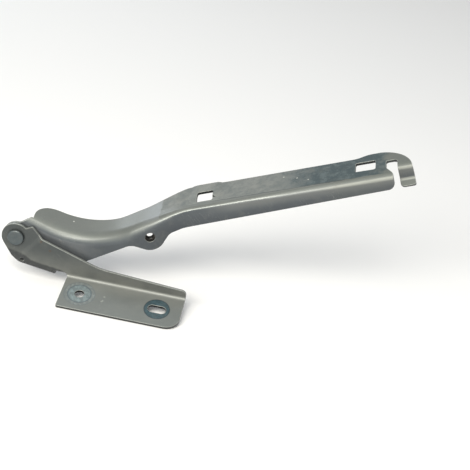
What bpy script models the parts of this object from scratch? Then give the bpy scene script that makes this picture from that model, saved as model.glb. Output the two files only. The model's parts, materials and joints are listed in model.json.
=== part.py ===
"""Bonnet hinge: a pressed arm that swings on a folded body bracket about one riveted pivot.

The origin is the middle of the bracket's mounting face, halfway between its two bolt holes.
+X runs along the mounting flange towards the front of the arm, +Y points away from the flange
side along the pivot's axis, and +Z is up. The arm stands as it is at rest, a little above closed.
"""
from math import ceil, cos, pi, radians, sin, sqrt, tan

import bmesh
import bpy
from mathutils import Matrix, Vector

MM = 0.001

# Sheet metal and the clearance between neighbouring pieces
BRACKET_SHEET = 3.0 * MM
ARM_SHEET = 3.0 * MM
GAP = 0.3 * MM

# Mounting flange of the bracket: it falls away from the web by its tilt
FLANGE_TILT = radians(16)
FLANGE_LEFT = 58.0 * MM
FLANGE_LEFT_FLARE = 1.0 * MM
FLANGE_RIGHT = 64.5 * MM
FLANGE_FRONT = 21.3 * MM
FLANGE_CORNER_RADIUS = 14.0 * MM
FLANGE_BEND_RADIUS = 4.0 * MM
FLANGE_RELIEF_RADIUS = 4.0 * MM
BOLT_SPACING = 79.4 * MM
BOLT_HOLE_DIAMETER = 9.5 * MM
BOLT_SLOT_LENGTH = 18.5 * MM
BOLT_SLOT_WIDTH = 9.5 * MM

# Web of the bracket
WEB_FACE_Y = 20.0 * MM
WEB_END_HEIGHT = 17.5 * MM
WEB_END_RADIUS = 5.0 * MM
WEB_LOW_CORNER_X = -26.0 * MM
WEB_LOW_CORNER_Z = 23.4 * MM
WEB_LOW_CORNER_RADIUS = 60.0 * MM
PAD_RADIUS = 15.0 * MM
PAD_SETBACK = 2.5 * MM
PAD_ARC_START = radians(50)
PAD_ARC_END = radians(214)
JOGGLE_LENGTH = 5.5 * MM
JOGGLE_REACH = 19.0 * MM
JOGGLE_ANGLE = radians(-39)
LUG_X = 16.0 * MM
LUG_Z = 14.6 * MM
LUG_RADIUS = 1.0 * MM
WEB_HIGH_CORNER_X = 25.8 * MM
WEB_HIGH_CORNER_Z = 4.4 * MM
WEB_HIGH_CORNER_RADIUS = 15.0 * MM

# Stop flange, folded back below the pad: the closed arm lands on it
STOP_LEFT = 3.5 * MM
STOP_LEFT_HEIGHT = 21.5 * MM
STOP_RIGHT = 43.0 * MM
STOP_DROP = 28.0 * MM
STOP_SLOPE = radians(-8.2)
STOP_DEPTH = 13.0 * MM
STOP_CORNER_RADIUS = 3.0 * MM
STOP_BEND_RADIUS = 6.0 * MM
STOP_HOLE_DIAMETER = 4.0 * MM
STOP_HOLE_X = 8.5 * MM
STOP_HOLE_Z = -23.0 * MM

# Pivot
PIVOT_X = -114.6 * MM
PIVOT_Z = 40.0 * MM
RIVET_SHANK_DIAMETER = 10.0 * MM
RIVET_HEAD_DIAMETER = 17.2 * MM
RIVET_HEAD_HEIGHT = 3.0 * MM
RIVET_HEAD_EDGE = 1.4 * MM
CLOSING_HEAD_DIAMETER = 16.0 * MM
CLOSING_HEAD_HEIGHT = 3.2 * MM
BUSH_WALL = 1.5 * MM
BUSH_FLANGE_DIAMETER = 22.0 * MM
BUSH_FLANGE_THICKNESS = 1.5 * MM
WASHER_DIAMETER = 21.0 * MM
WASHER_THICKNESS = 1.5 * MM

# Arm: crest line, section and outline, measured from the pivot
ARM_LOBE_RADIUS = 14.5 * MM
LOBE_SHOULDER_X = 1.5 * MM
LOBE_SHOULDER_RADIUS = 6.0 * MM
LOBE_ARC_START = radians(100)
LOBE_ARC_END = radians(250)
CLOSED_ANGLE = radians(-9)
NECK_TOP = 21.8 * MM
NECK_START = 2.4 * MM
NECK_END = 55.0 * MM
NECK_CORNER_RADIUS = 3.0 * MM
NECK_END_RADIUS = 20.0 * MM
CREST_RUN_IN = 115.0 * MM
CREST_START_SLOPE = radians(-18.1)
CREST_LOW_X = 69.7 * MM
CREST_LOW_Z = 4.6 * MM
CREST_LOW_RADIUS = 99.0 * MM
GOOSENECK_SLOPE = radians(30.4)
GOOSENECK_LENGTH = 99.4 * MM
GOOSENECK_RADIUS = 120.0 * MM
STRAIGHT_SLOPE = radians(22.6)
STRAIGHT_LENGTH = 217.0 * MM
ARM_JOG = 15.0 * MM
ARM_JOG_START = 115.0 * MM
ARM_JOG_LENGTH = 52.0 * MM
ARM_JOG_BLEND = 4.0 * MM
NECK_BEND_RADIUS = 13.0 * MM
KNEE_BEND_RADIUS = 4.8 * MM
ARM_BEND_RADIUS = 8.0 * MM
KNEE_END_X = 215.0 * MM
KNEE_RUN_OUT = 75.0 * MM
TOP_TILT = radians(8)
NECK_WIDTH = 31.0 * MM
TOP_WIDTH = 40.0 * MM
TOP_LEFT = 13.8 * MM
TOP_LEFT_RADIUS = 22.0 * MM
TOP_WIDENS_X = 96.0 * MM
TOP_SHOULDER_X = 124.0 * MM
TOP_SHOULDER_RISE = 6.0 * MM
TOP_WIDENS_RADIUS = 40.0 * MM
TOP_WIDE_X = 160.0 * MM
TOP_WIDE_RADIUS = 14.0 * MM
WEB_DRAWN_DEPTH = 60.0 * MM
WEB_DEPTH_START = 20.5 * MM
WEB_DEPTH_END = 16.5 * MM
WEB_CORNER_RADIUS = 7.0 * MM

# Ear under the gooseneck
EAR_X = 133.8 * MM
EAR_Z = 23.6 * MM
EAR_RADIUS = 14.5 * MM
EAR_ARC_START = radians(-108)
EAR_ARC_END = radians(-14)
EAR_REAR_CORNER_X = -17.7 * MM
EAR_REAR_CORNER_Z = -10.2 * MM
EAR_REAR_RADIUS = 12.0 * MM
EAR_FRONT_SETBACK = 13.0 * MM
EAR_FRONT_RADIUS = 10.0 * MM
EAR_HOLE_DIAMETER = 10.0 * MM
WELD_NUT_ACROSS_FLATS = 13.0 * MM
WELD_NUT_HEIGHT = 6.5 * MM
WELD_NUT_BORE = 6.8 * MM
WELD_NUT_STANDOFF = 0.7 * MM

# Rectangular holes in the arm's top: the rear one is placed from the straight's start, the front
# one from its end, and both across it from the near face
HOLE_CORNER_RADIUS = 2.0 * MM
REAR_HOLE_STATION = 26.5 * MM
REAR_HOLE_ACROSS = 18.1 * MM
REAR_HOLE_LENGTH = 16.5 * MM
REAR_HOLE_WIDTH = 15.5 * MM
FRONT_HOLE_SETBACK = 27.2 * MM
FRONT_HOLE_ACROSS = 23.7 * MM
FRONT_HOLE_LENGTH = 19.8 * MM
FRONT_HOLE_WIDTH = 16.0 * MM
BOSS_RISE = 1.5 * MM
BOSS_LENGTH = 34.0 * MM
BOSS_NEAR = 12.0 * MM
BOSS_RAMP = 6.0 * MM

# Hook at the front end
HOOK_GAP = 4.2 * MM
HOOK_WIDTH = 15.0 * MM
HOOK_FACE = 14.5 * MM
HOOK_BEND_RADIUS = 7.0 * MM
HOOK_CORNER_RADIUS = 36.0 * MM
HOOK_SHOULDER = 4.5 * MM
HOOK_SHOULDER_SETBACK = 36.0 * MM
HOOK_SHOULDER_LENGTH = 10.0 * MM
HOOK_SHOULDER_RADIUS = 20.0 * MM
HOOK_STRAIGHT_DEPTH = 11.0 * MM
HOOK_FLARE_RADIUS = 6.0 * MM
HOOK_FLARE_ANGLE = radians(50)
HOOK_FLARE_LENGTH = 5.0 * MM
NOTCH_DEPTH = 6.6 * MM
NOTCH_FAR_SIDE = 27.5 * MM
NOTCH_NEAR_SIDE = 15.0 * MM
NOTCH_MOUTH = 3.0 * MM
NOTCH_FRONT_RADIUS = 4.0 * MM
NOTCH_REAR_RADIUS = 2.5 * MM

# Fineness of curves, how far a sheet is drawn past its trimming cut, and the cutters' reach
ARC_STEP = radians(8)
CREST_STEP = radians(1)
STATION_STEP = 3.6 * MM
WEB_ROWS = 7
ROUND_SEGMENTS = 48
TRIM = 1.0 * MM
FAR = 100.0 * MM
SHARP_EDGE = radians(35)


# Materials

def painted_steel(name, colour, roughness, metallic):
    """Return a Principled material for one piece."""
    material = bpy.data.materials.new(name)
    material.use_nodes = True
    shader = material.node_tree.nodes["Principled BSDF"]
    shader.inputs["Base Color"].default_value = (*colour, 1)
    shader.inputs["Roughness"].default_value = roughness
    shader.inputs["Metallic"].default_value = metallic
    return material


# Outlines

def rounded(corners, closed=True, arc_step=ARC_STEP):
    """Turn (x, y, radius) corners into points, with an arc at each corner that has a radius."""
    points = []
    count = len(corners)
    for index, (x, y, radius) in enumerate(corners):
        corner = Vector((x, y))
        if radius == 0 or (not closed and index in (0, count - 1)):
            points.append(corner)
            continue
        before = Vector(corners[index - 1][:2])
        after = Vector(corners[(index + 1) % count][:2])
        inward = (before - corner).normalized()
        outward = (after - corner).normalized()
        half = inward.angle(outward) / 2
        room = 0.9 * min((before - corner).length, (after - corner).length)
        radius = min(radius, room * tan(half))
        centre = corner + (inward + outward).normalized() * radius / sin(half)
        start = corner + inward * radius / tan(half) - centre
        sweep = start.angle_signed(corner + outward * radius / tan(half) - centre)
        steps = max(2, ceil(abs(sweep) / arc_step))
        for step in range(steps + 1):
            points.append(centre + Matrix.Rotation(-sweep * step / steps, 2) @ start)
    return points


def arc(centre, radius, start, end):
    """Return points along an arc, with angles counted from +X."""
    steps = max(2, ceil(abs(end - start) / ARC_STEP))
    angles = [start + (end - start) * step / steps for step in range(steps + 1)]
    return [Vector((centre[0] + radius * cos(a), centre[1] + radius * sin(a))) for a in angles]


def smooth_step(value):
    """Ease from 0 to 1 while the value goes from 0 to 1."""
    share = min(max(value, 0), 1)
    return share * share * (3 - 2 * share)


# Meshes

def new_object(name, bm, material):
    """Close a bmesh into a named object with its faces pointing out."""
    bmesh.ops.recalc_face_normals(bm, faces=bm.faces)
    mesh = bpy.data.meshes.new(name)
    bm.to_mesh(mesh)
    bm.free()
    mesh.materials.append(material)
    thing = bpy.data.objects.new(name, mesh)
    bpy.context.scene.collection.objects.link(thing)
    return thing


def apply_modifiers(thing):
    """Keep the evaluated mesh and shade it smooth, with its real edges sharp."""
    bpy.context.view_layer.update()
    evaluated = thing.evaluated_get(bpy.context.evaluated_depsgraph_get())
    mesh = bpy.data.meshes.new_from_object(evaluated)
    thing.modifiers.clear()
    thing.data = mesh
    mesh.shade_smooth()
    mesh.set_sharp_from_angle(angle=SHARP_EDGE)


def prism(name, outline, frame, low, high):
    """Extrude a plane outline along the third axis of a frame, as a cutter."""
    bm = bmesh.new()
    corners = [bm.verts.new(frame @ Vector((p[0], p[1], low))) for p in outline]
    face = bm.faces.new(corners)
    grown = bmesh.ops.extrude_face_region(bm, geom=[face])
    lifted = [item for item in grown["geom"] if isinstance(item, bmesh.types.BMVert)]
    bmesh.ops.translate(bm, verts=lifted, vec=frame.to_3x3() @ Vector((0, 0, high - low)))
    cutter = new_object(name, bm, bpy.data.materials[0])
    cutter.hide_render = True
    cutter.display_type = "WIRE"
    return cutter


def cut(thing, cutters):
    """Take each cutter away from the object, and remove the cutter."""
    for cutter in cutters:
        modifier = thing.modifiers.new(cutter.name, "BOOLEAN")
        modifier.operation = "DIFFERENCE"
        modifier.solver = "EXACT"
        modifier.object = cutter
    apply_modifiers(thing)
    for cutter in cutters:
        bpy.data.objects.remove(cutter)


def sheet_metal(name, patches, thickness, material):
    """Weld patches of points into one sheet, and thicken it away from its drawn face."""
    bm = bmesh.new()
    for patch in patches:
        rows = [[bm.verts.new(point) for point in row] for row in patch]
        for near, far in zip(rows, rows[1:]):
            for a, b, c, d in zip(near, near[1:], far[1:], far):
                bm.faces.new((a, b, c, d))
    bmesh.ops.remove_doubles(bm, verts=bm.verts, dist=0.01 * MM)
    mesh = bpy.data.meshes.new(name)
    bm.to_mesh(mesh)
    bm.free()
    mesh.materials.append(material)
    thing = bpy.data.objects.new(name, mesh)
    bpy.context.scene.collection.objects.link(thing)
    solidify = thing.modifiers.new("sheet", "SOLIDIFY")
    solidify.thickness = thickness
    solidify.offset = -1
    solidify.use_even_offset = True
    return thing


def turned(name, profile, material, closed=True):
    """Revolve a (radius, y) profile about the pivot's axis; an open one starts and ends on it."""
    bm = bmesh.new()
    ring = [bm.verts.new((radius, y, 0)) for radius, y in profile]
    pairs = list(zip(ring, ring[1:]))
    if closed:
        pairs.append((ring[-1], ring[0]))
    edges = [bm.edges.new(pair) for pair in pairs]
    bmesh.ops.spin(bm, geom=ring + edges, cent=(0, 0, 0), axis=(0, 1, 0), angle=2 * pi,
                   steps=ROUND_SEGMENTS, use_merge=True)
    bmesh.ops.remove_doubles(bm, verts=bm.verts, dist=0.001 * MM)
    thing = new_object(name, bm, material)
    thing.location = PIVOT
    thing.data.shade_smooth()
    thing.data.set_sharp_from_angle(angle=SHARP_EDGE)


# Places that several pieces share

PAD_Y = WEB_FACE_Y + PAD_SETBACK
BUSH_FLANGE_Y = PAD_Y + BRACKET_SHEET + GAP
ARM_FACE_Y = BUSH_FLANGE_Y + BUSH_FLANGE_THICKNESS + GAP
WASHER_Y = ARM_FACE_Y + ARM_SHEET + 2 * GAP
CLOSING_HEAD_Y = WASHER_Y + WASHER_THICKNESS + GAP
PIVOT = Vector((PIVOT_X, 0, PIVOT_Z))
BUSH_BORE = RIVET_SHANK_DIAMETER / 2 + GAP
BUSH_RADIUS = BUSH_BORE + BUSH_WALL


def side_frame():
    """Return the frame whose plane is X and Z and whose third axis is Y."""
    return Matrix(((1, 0, 0, 0), (0, 0, 1, 0), (0, 1, 0, 0), (0, 0, 0, 1)))


# Bracket

def flange_frame():
    """Return the frame on the flange's top face: along X, up the slope, and out of the face."""
    top = Matrix.Translation((0, 0, BRACKET_SHEET / cos(FLANGE_TILT)))
    return top @ Matrix.Rotation(FLANGE_TILT, 4, "X")


def stop_low(x):
    """Return the height of the stop flange's underside at a place along the bracket."""
    return PIVOT_Z - STOP_DROP + tan(STOP_SLOPE) * (x - PIVOT_X)


def crease_x(distance, z):
    """Return x where the crease line at a distance from the pivot is at height z."""
    return PIVOT_X + (distance + (PIVOT_Z - z) * sin(JOGGLE_ANGLE)) / cos(JOGGLE_ANGLE)


def web_line(distance, setback):
    """Return a section line along the joggle: x at the top, x at the fold, and y."""
    fold_z = stop_low(PIVOT_X) + STOP_BEND_RADIUS
    return crease_x(distance, web_top()), crease_x(distance, fold_z), WEB_FACE_Y + setback


def web_top():
    """Return the height that the web is drawn to before its outline is cut."""
    return PIVOT_Z + PAD_RADIUS + STOP_BEND_RADIUS


def flange_fold_z():
    """Return the height where the web starts to fold into the mounting flange."""
    crossing = BRACKET_SHEET / cos(FLANGE_TILT) + WEB_FACE_Y * tan(FLANGE_TILT)
    return crossing + FLANGE_BEND_RADIUS * tan((pi / 2 - FLANGE_TILT) / 2)


def flange_front(x):
    """Return how far the mounting flange reaches down its slope, round its front corner."""
    into_corner = x - (FLANGE_RIGHT - FLANGE_CORNER_RADIUS)
    if into_corner <= 0:
        return FLANGE_FRONT
    depth = sqrt(max(FLANGE_CORNER_RADIUS ** 2 - into_corner ** 2, 0))
    return FLANGE_FRONT - FLANGE_CORNER_RADIUS + depth


def flange_relief(along_bend):
    """Return how far the round relief at the fold's left end stands out, down along the bend."""
    left = max(FLANGE_RELIEF_RADIUS - along_bend, 0)
    return FLANGE_RELIEF_RADIUS - sqrt(FLANGE_RELIEF_RADIUS ** 2 - left ** 2)


def mounting_flange_patch(lines):
    """Fold the web forwards into the mounting flange, along the given section lines."""
    fold = arc((WEB_FACE_Y - FLANGE_BEND_RADIUS, flange_fold_z()), FLANGE_BEND_RADIUS,
               0, FLANGE_TILT - pi / 2)
    frame = flange_frame()
    last = frame.inverted() @ Vector((0, fold[-1].x, fold[-1].y))
    patch = []
    for x in lines:
        row = [Vector((x, y, z)) for y, z in fold]
        if x == lines[0]:
            along_bend = FLANGE_BEND_RADIUS * (pi / 2 - FLANGE_TILT) / (len(fold) - 1)
            for step, point in enumerate(row):
                point.x -= flange_relief(step * along_bend)
        reach = flange_front(min(x, FLANGE_RIGHT))
        flare = FLANGE_LEFT_FLARE if x == lines[0] else 0
        for step in range(1, 4):
            share = step / 3
            row.append(frame @ Vector((x - flare * share, last.y + (-reach - last.y) * share, 0)))
        patch.append(row)
    return patch


def stop_flange_patch(lines):
    """Fold the web backwards into the stop flange, along the given section lines."""
    patch = []
    for _, x, y in lines:
        centre = (y + STOP_BEND_RADIUS, stop_low(x) + STOP_BEND_RADIUS)
        row = [Vector((x, p.x, p.y)) for p in arc(centre, STOP_BEND_RADIUS, pi, 3 * pi / 2)]
        row.append(Vector((x, WEB_FACE_Y + STOP_DEPTH, stop_low(x))))
        patch.append(row)
    return patch


def bracket_outline():
    """Return the waste round the web: what lies above, behind and in front of its outline."""
    corners = [
        (FLANGE_RIGHT, -FAR, 0),
        (FLANGE_RIGHT, WEB_END_HEIGHT, WEB_END_RADIUS),
        (WEB_LOW_CORNER_X, WEB_LOW_CORNER_Z, WEB_LOW_CORNER_RADIUS),
        (PIVOT_X + WEB_HIGH_CORNER_X, PIVOT_Z + WEB_HIGH_CORNER_Z, WEB_HIGH_CORNER_RADIUS),
        (PIVOT_X + LUG_X, PIVOT_Z + LUG_Z, LUG_RADIUS),
    ]
    pad = [(p.x, p.y, 0) for p in arc((PIVOT_X, PIVOT_Z), PAD_RADIUS, PAD_ARC_START, PAD_ARC_END)]
    tail = [
        (PIVOT_X - STOP_LEFT, PIVOT_Z - STOP_LEFT_HEIGHT, STOP_CORNER_RADIUS),
        (PIVOT_X + 2 * STOP_LEFT, stop_low(PIVOT_X) - BRACKET_SHEET, 0),
        (PIVOT_X + 2 * STOP_LEFT, -FAR, 0),
        (PIVOT_X - FAR, -FAR, 0),
        (PIVOT_X - FAR, FAR, 0),
        (FLANGE_RIGHT + FAR, FAR, 0),
        (FLANGE_RIGHT + FAR, -FAR, 0),
    ]
    return rounded(corners + pad + tail)


def stop_section_lines():
    """List the section lines across the stop flange, from its left edge to its right end."""
    flat = JOGGLE_REACH - JOGGLE_LENGTH
    edge = PIVOT_X - STOP_LEFT - 2 * TRIM
    lean = crease_x(0, web_top()) - crease_x(0, stop_low(PIVOT_X) + STOP_BEND_RADIUS)
    lines = [(edge + lean, edge, PAD_Y)]
    for step in range(5):
        share = step / 4
        lines.append(web_line(flat + JOGGLE_LENGTH * share, PAD_SETBACK * (1 - smooth_step(share))))
    lines.append(((lines[-1][0] - FLANGE_LEFT) / 2, PIVOT_X + STOP_RIGHT, WEB_FACE_Y))
    return lines


def flange_section_places():
    """List x of the section lines across the mounting flange, closer round its front corner."""
    corner_start = FLANGE_RIGHT - FLANGE_CORNER_RADIUS
    straight = [-FLANGE_LEFT + (corner_start + FLANGE_LEFT) * step / 6 for step in range(7)]
    curve = [corner_start + FLANGE_CORNER_RADIUS * sin(pi / 2 * step / 6) for step in range(1, 7)]
    return straight + curve + [FLANGE_RIGHT + 2 * TRIM]


def make_bracket(material):
    """Make the body bracket: web, pivot pad, mounting flange and stop flange in one sheet."""
    pad_edge = web_line(-3 * PAD_RADIUS, PAD_SETBACK)
    stop_lines = stop_section_lines()
    fronts = flange_section_places()
    web = []
    for top_x, x, y in [pad_edge] + stop_lines:
        web.append([Vector((top_x, y, web_top())), Vector((x, y, stop_low(x) + STOP_BEND_RADIUS))])
    for x in fronts:
        low_x = x - flange_relief(0) if x == fronts[0] else x
        web.append([Vector((x, WEB_FACE_Y, web_top())), Vector((low_x, WEB_FACE_Y, flange_fold_z()))])
    patches = [web, stop_flange_patch(stop_lines), mounting_flange_patch(fronts)]
    bracket = sheet_metal("body_bracket", patches, BRACKET_SHEET, material)
    side = side_frame()
    flange = flange_frame()
    hole = arc((-BOLT_SPACING / 2, 0), BOLT_HOLE_DIAMETER / 2, 0, 2 * pi)[:-1]
    reach = (BOLT_SLOT_LENGTH - BOLT_SLOT_WIDTH) / 2
    slot = arc((BOLT_SPACING / 2 + reach, 0), BOLT_SLOT_WIDTH / 2, -pi / 2, pi / 2)
    slot += arc((BOLT_SPACING / 2 - reach, 0), BOLT_SLOT_WIDTH / 2, pi / 2, 3 * pi / 2)
    rivet_hole = arc((PIVOT_X, PIVOT_Z), BUSH_BORE, 0, 2 * pi)[:-1]
    stop_centre = (PIVOT_X + STOP_HOLE_X, PIVOT_Z + STOP_HOLE_Z)
    stop_hole = arc(stop_centre, STOP_HOLE_DIAMETER / 2, 0, 2 * pi)[:-1]
    through = 3 * BRACKET_SHEET
    cut(bracket, [
        prism("outline", bracket_outline(), side, -FAR, FAR),
        prism("bolt_hole", hole, flange, -through, through),
        prism("bolt_slot", slot, flange, -through, through),
        prism("rivet_hole", rivet_hole, side, WEB_FACE_Y - through, PAD_Y + through),
        prism("stop_hole", stop_hole, side, WEB_FACE_Y, PAD_Y + STOP_BEND_RADIUS),
    ])


# Arm

def top_height(across):
    """Return the height of the arm's top above its crest line, across from its near face."""
    return (across - ARM_BEND_RADIUS) * tan(TOP_TILT)


def soft_ramp(value):
    """Stay at 0 and then rise with a slope of one, through a short parabolic bend."""
    if value <= -ARM_JOG_BLEND:
        return 0.0
    if value >= ARM_JOG_BLEND:
        return value
    return (value + ARM_JOG_BLEND) ** 2 / (4 * ARM_JOG_BLEND)


def arm_face_y(x):
    """Return y of the near face of the arm's web, which jogs away between two bends."""
    past_start = x - ARM_JOG_START
    run = soft_ramp(past_start) - soft_ramp(past_start - ARM_JOG_LENGTH)
    return ARM_FACE_Y + ARM_JOG * run / ARM_JOG_LENGTH


def gooseneck_corner():
    """Return the corner where the gooseneck meets the straight."""
    rise = Vector((cos(GOOSENECK_SLOPE), sin(GOOSENECK_SLOPE)))
    return Vector((CREST_LOW_X, CREST_LOW_Z)) + GOOSENECK_LENGTH * rise


def straight_direction():
    """Return the direction of the arm's straight in the side view."""
    return Vector((cos(STRAIGHT_SLOPE), sin(STRAIGHT_SLOPE)))


def arm_point(origin, direction, across, height):
    """Place a point of the arm's section, square to the crest line."""
    x = origin.x - direction.y * height
    z = origin.y + direction.x * height
    return Vector((x, arm_face_y(x) + across, z))


def straight_point(station, across, height=0.0):
    """Place a point by its station along the straight, on or above the arm's top."""
    direction = straight_direction()
    origin = gooseneck_corner() + direction * station
    return arm_point(origin, direction, across, top_height(across) + height)


def crest_line():
    """List evenly spaced (point, direction) stations along the arm's crest line."""
    low = Vector((CREST_LOW_X, CREST_LOW_Z))
    start = low - Vector((cos(CREST_START_SLOPE), sin(CREST_START_SLOPE))) * CREST_RUN_IN
    end = gooseneck_corner() + straight_direction() * (STRAIGHT_LENGTH + TRIM)
    path = rounded([(*start, 0), (*low, CREST_LOW_RADIUS), (*gooseneck_corner(), GOOSENECK_RADIUS),
                    (*end, 0)], closed=False, arc_step=CREST_STEP)
    lengths = [0.0]
    for a, b in zip(path, path[1:]):
        lengths.append(lengths[-1] + (b - a).length)
    count = ceil(lengths[-1] / STATION_STEP)
    stations = []
    leg = 0
    for index in range(count + 1):
        along = lengths[-1] * index / count
        while leg < len(path) - 2 and lengths[leg + 1] < along:
            leg += 1
        direction = (path[leg + 1] - path[leg]).normalized()
        stations.append((path[leg] + direction * (along - lengths[leg]), direction))
    return stations


def bend_radius(x):
    """Return the radius between the arm's web and top: it tightens at the knee and opens again."""
    tightened = smooth_step((x - ARM_JOG_START) / ARM_JOG_LENGTH)
    opened = smooth_step((x - KNEE_END_X) / KNEE_RUN_OUT)
    radius = NECK_BEND_RADIUS + (KNEE_BEND_RADIUS - NECK_BEND_RADIUS) * tightened
    return radius + (ARM_BEND_RADIUS - KNEE_BEND_RADIUS) * opened


def bend_rows(face, radius):
    """List the (across, height) points of the bend from a web's face to the arm's top."""
    centre = (face + radius, top_height(face + radius) - radius / cos(TOP_TILT))
    return arc(centre, radius, pi, pi / 2 + TOP_TILT)


def boss_rise(origin, across):
    """Return how far the boss round the rear hole lifts the arm's top."""
    along = (origin - gooseneck_corner()).dot(straight_direction()) - REAR_HOLE_STATION
    ends = smooth_step((BOSS_LENGTH / 2 - abs(along)) / BOSS_RAMP)
    side = smooth_step((across - BOSS_NEAR) / BOSS_RAMP)
    return BOSS_RISE * ends * side


def hook_rows():
    """List the (across, height) points of the hook, from its flared tip up to the arm's top."""
    radius = HOOK_FLARE_RADIUS
    flare = arc((HOOK_FACE - radius, -HOOK_STRAIGHT_DEPTH), radius, 0, -HOOK_FLARE_ANGLE)
    way = Vector((-sin(HOOK_FLARE_ANGLE), -cos(HOOK_FLARE_ANGLE)))
    tip = flare[-1] + way * HOOK_FLARE_LENGTH
    return [tip] + flare[::-1] + bend_rows(HOOK_FACE, HOOK_BEND_RADIUS)


def arm_patches():
    """List the arm's patches: web, bend and top along the crest, and the hook beyond them."""
    shared_start = HOOK_FACE + HOOK_BEND_RADIUS
    shared_end = TOP_WIDTH + HOOK_SHOULDER + 5 * TRIM
    shared = [shared_start, (shared_start + shared_end) / 2, shared_end]
    ramp = [BOSS_NEAR + BOSS_RAMP * step / 4 for step in range(1, 5)]
    body = []
    for origin, direction in crest_line():
        bend = bend_rows(0, bend_radius(origin.x))
        drawn = WEB_DRAWN_DEPTH + bend[0].y
        rows = [Vector((0, drawn * step / WEB_ROWS - WEB_DRAWN_DEPTH)) for step in range(WEB_ROWS)]
        rows += bend
        for across in ramp + shared:
            rows.append(Vector((across, top_height(across) + boss_rise(origin, across))))
        body.append([arm_point(origin, direction, row.x, row.y) for row in rows])
    first = STRAIGHT_LENGTH + HOOK_GAP - TRIM
    hook = []
    for step in range(5):
        station = first + (HOOK_WIDTH + 2 * TRIM) * step / 4
        origin = gooseneck_corner() + straight_direction() * station
        rows = hook_rows() + [Vector((across, top_height(across))) for across in shared]
        hook.append([arm_point(origin, straight_direction(), row.x, row.y) for row in rows])
    bridge = [body[-1][-len(shared):], hook[0][-len(shared):]]
    return [[row[::-1] for row in patch] for patch in (body, bridge, hook)]


def rest_point(closed_x):
    """Return a point of the neck's lower edge, which lies on the stop flange once closed."""
    closed_z = stop_low(PIVOT_X + closed_x) - PIVOT_Z + BRACKET_SHEET + GAP
    return Matrix.Rotation(-CLOSED_ANGLE, 2) @ Vector((closed_x, closed_z))


def web_waste():
    """Return the waste round the arm's web: above the lobe, behind it and below its lower edge."""
    direction = straight_direction()
    down = Vector((direction.y, -direction.x))
    up = -down * (ARM_BEND_RADIUS + ARM_SHEET)
    start = gooseneck_corner()
    end = start + direction * STRAIGHT_LENGTH
    beyond = end + direction * 2 * TRIM
    below = beyond + down * FAR
    lower_start = start + down * WEB_DEPTH_START
    gooseneck = Vector((cos(GOOSENECK_SLOPE), sin(GOOSENECK_SLOPE)))
    lobe = arc((0, 0), ARM_LOBE_RADIUS, LOBE_ARC_START, LOBE_ARC_END)
    ear = arc((EAR_X, EAR_Z), EAR_RADIUS, EAR_ARC_START, EAR_ARC_END)
    return rounded([
        (TOP_LEFT, FAR, 0),
        (TOP_LEFT, NECK_TOP, NECK_CORNER_RADIUS),
        (LOBE_SHOULDER_X, ARM_LOBE_RADIUS, LOBE_SHOULDER_RADIUS),
        *[(*point, 0) for point in lobe],
        (*rest_point(NECK_START), NECK_CORNER_RADIUS),
        (*rest_point(NECK_END), NECK_END_RADIUS),
        (EAR_X + EAR_REAR_CORNER_X, EAR_Z + EAR_REAR_CORNER_Z, EAR_REAR_RADIUS),
        *[(*point, 0) for point in ear],
        (*(lower_start - gooseneck * EAR_FRONT_SETBACK), EAR_FRONT_RADIUS),
        (*lower_start, 0),
        (*(end + down * WEB_DEPTH_END), WEB_CORNER_RADIUS),
        (*(end + up), 0),
        (*(beyond + up), 0),
        (*below, 0),
        (below.x, -2 * FAR, 0),
        (-FAR, -2 * FAR, 0),
        (-FAR, FAR, 0),
    ])


def top_waste():
    """Return the waste beyond the far edge of the arm's top, in the plan view."""
    behind_web = ARM_FACE_Y + ARM_SHEET + 2 * TRIM
    neck_far = ARM_FACE_Y + NECK_WIDTH
    straight_far = ARM_FACE_Y + ARM_JOG + TOP_WIDTH
    beyond = straight_point(STRAIGHT_LENGTH, TOP_WIDTH).x + FAR
    shoulder_start = straight_point(STRAIGHT_LENGTH - HOOK_SHOULDER_SETBACK, TOP_WIDTH).x
    shoulder_end = shoulder_start + HOOK_SHOULDER_LENGTH
    return rounded([
        (-FAR, 2 * FAR, 0),
        (-FAR, behind_web, 0),
        (TOP_LEFT, behind_web, 0),
        (TOP_LEFT, neck_far, TOP_LEFT_RADIUS),
        (TOP_WIDENS_X, neck_far, TOP_WIDENS_RADIUS),
        (TOP_SHOULDER_X, neck_far + TOP_SHOULDER_RISE, TOP_WIDENS_RADIUS),
        (TOP_WIDE_X, straight_far, TOP_WIDE_RADIUS),
        (shoulder_start, straight_far, HOOK_SHOULDER_RADIUS),
        (shoulder_end, straight_far + HOOK_SHOULDER, HOOK_SHOULDER_RADIUS),
        (beyond, straight_far + HOOK_SHOULDER, 0),
        (beyond, 2 * FAR, 0),
    ])


def hook_waste():
    """Return the waste round the hook's outer corner and beyond its end, as station and across."""
    end = STRAIGHT_LENGTH + HOOK_GAP + HOOK_WIDTH
    far = (TOP_WIDTH + HOOK_SHOULDER) / cos(TOP_TILT) + GAP
    start = end - 2 * HOOK_CORNER_RADIUS
    return rounded([
        (start, far, 0),
        (end, far, HOOK_CORNER_RADIUS),
        (end, -FAR, 0),
        (end + FAR, -FAR, 0),
        (end + FAR, 2 * FAR, 0),
        (start, 2 * FAR, 0),
    ])


def notch_waste():
    """Return the notch between the arm's end and the hook, as station and across."""
    end = STRAIGHT_LENGTH
    hook = end + HOOK_GAP
    return rounded([
        (hook, -ARM_BEND_RADIUS, 0),
        (hook, NOTCH_FAR_SIDE, NOTCH_FRONT_RADIUS),
        (end - NOTCH_DEPTH, NOTCH_FAR_SIDE, NOTCH_REAR_RADIUS),
        (end - NOTCH_DEPTH, NOTCH_NEAR_SIDE, NOTCH_FRONT_RADIUS),
        (end + TRIM / 2, NOTCH_MOUTH, 0),
        (end + TRIM / 2, -ARM_BEND_RADIUS, 0),
    ])


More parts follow.
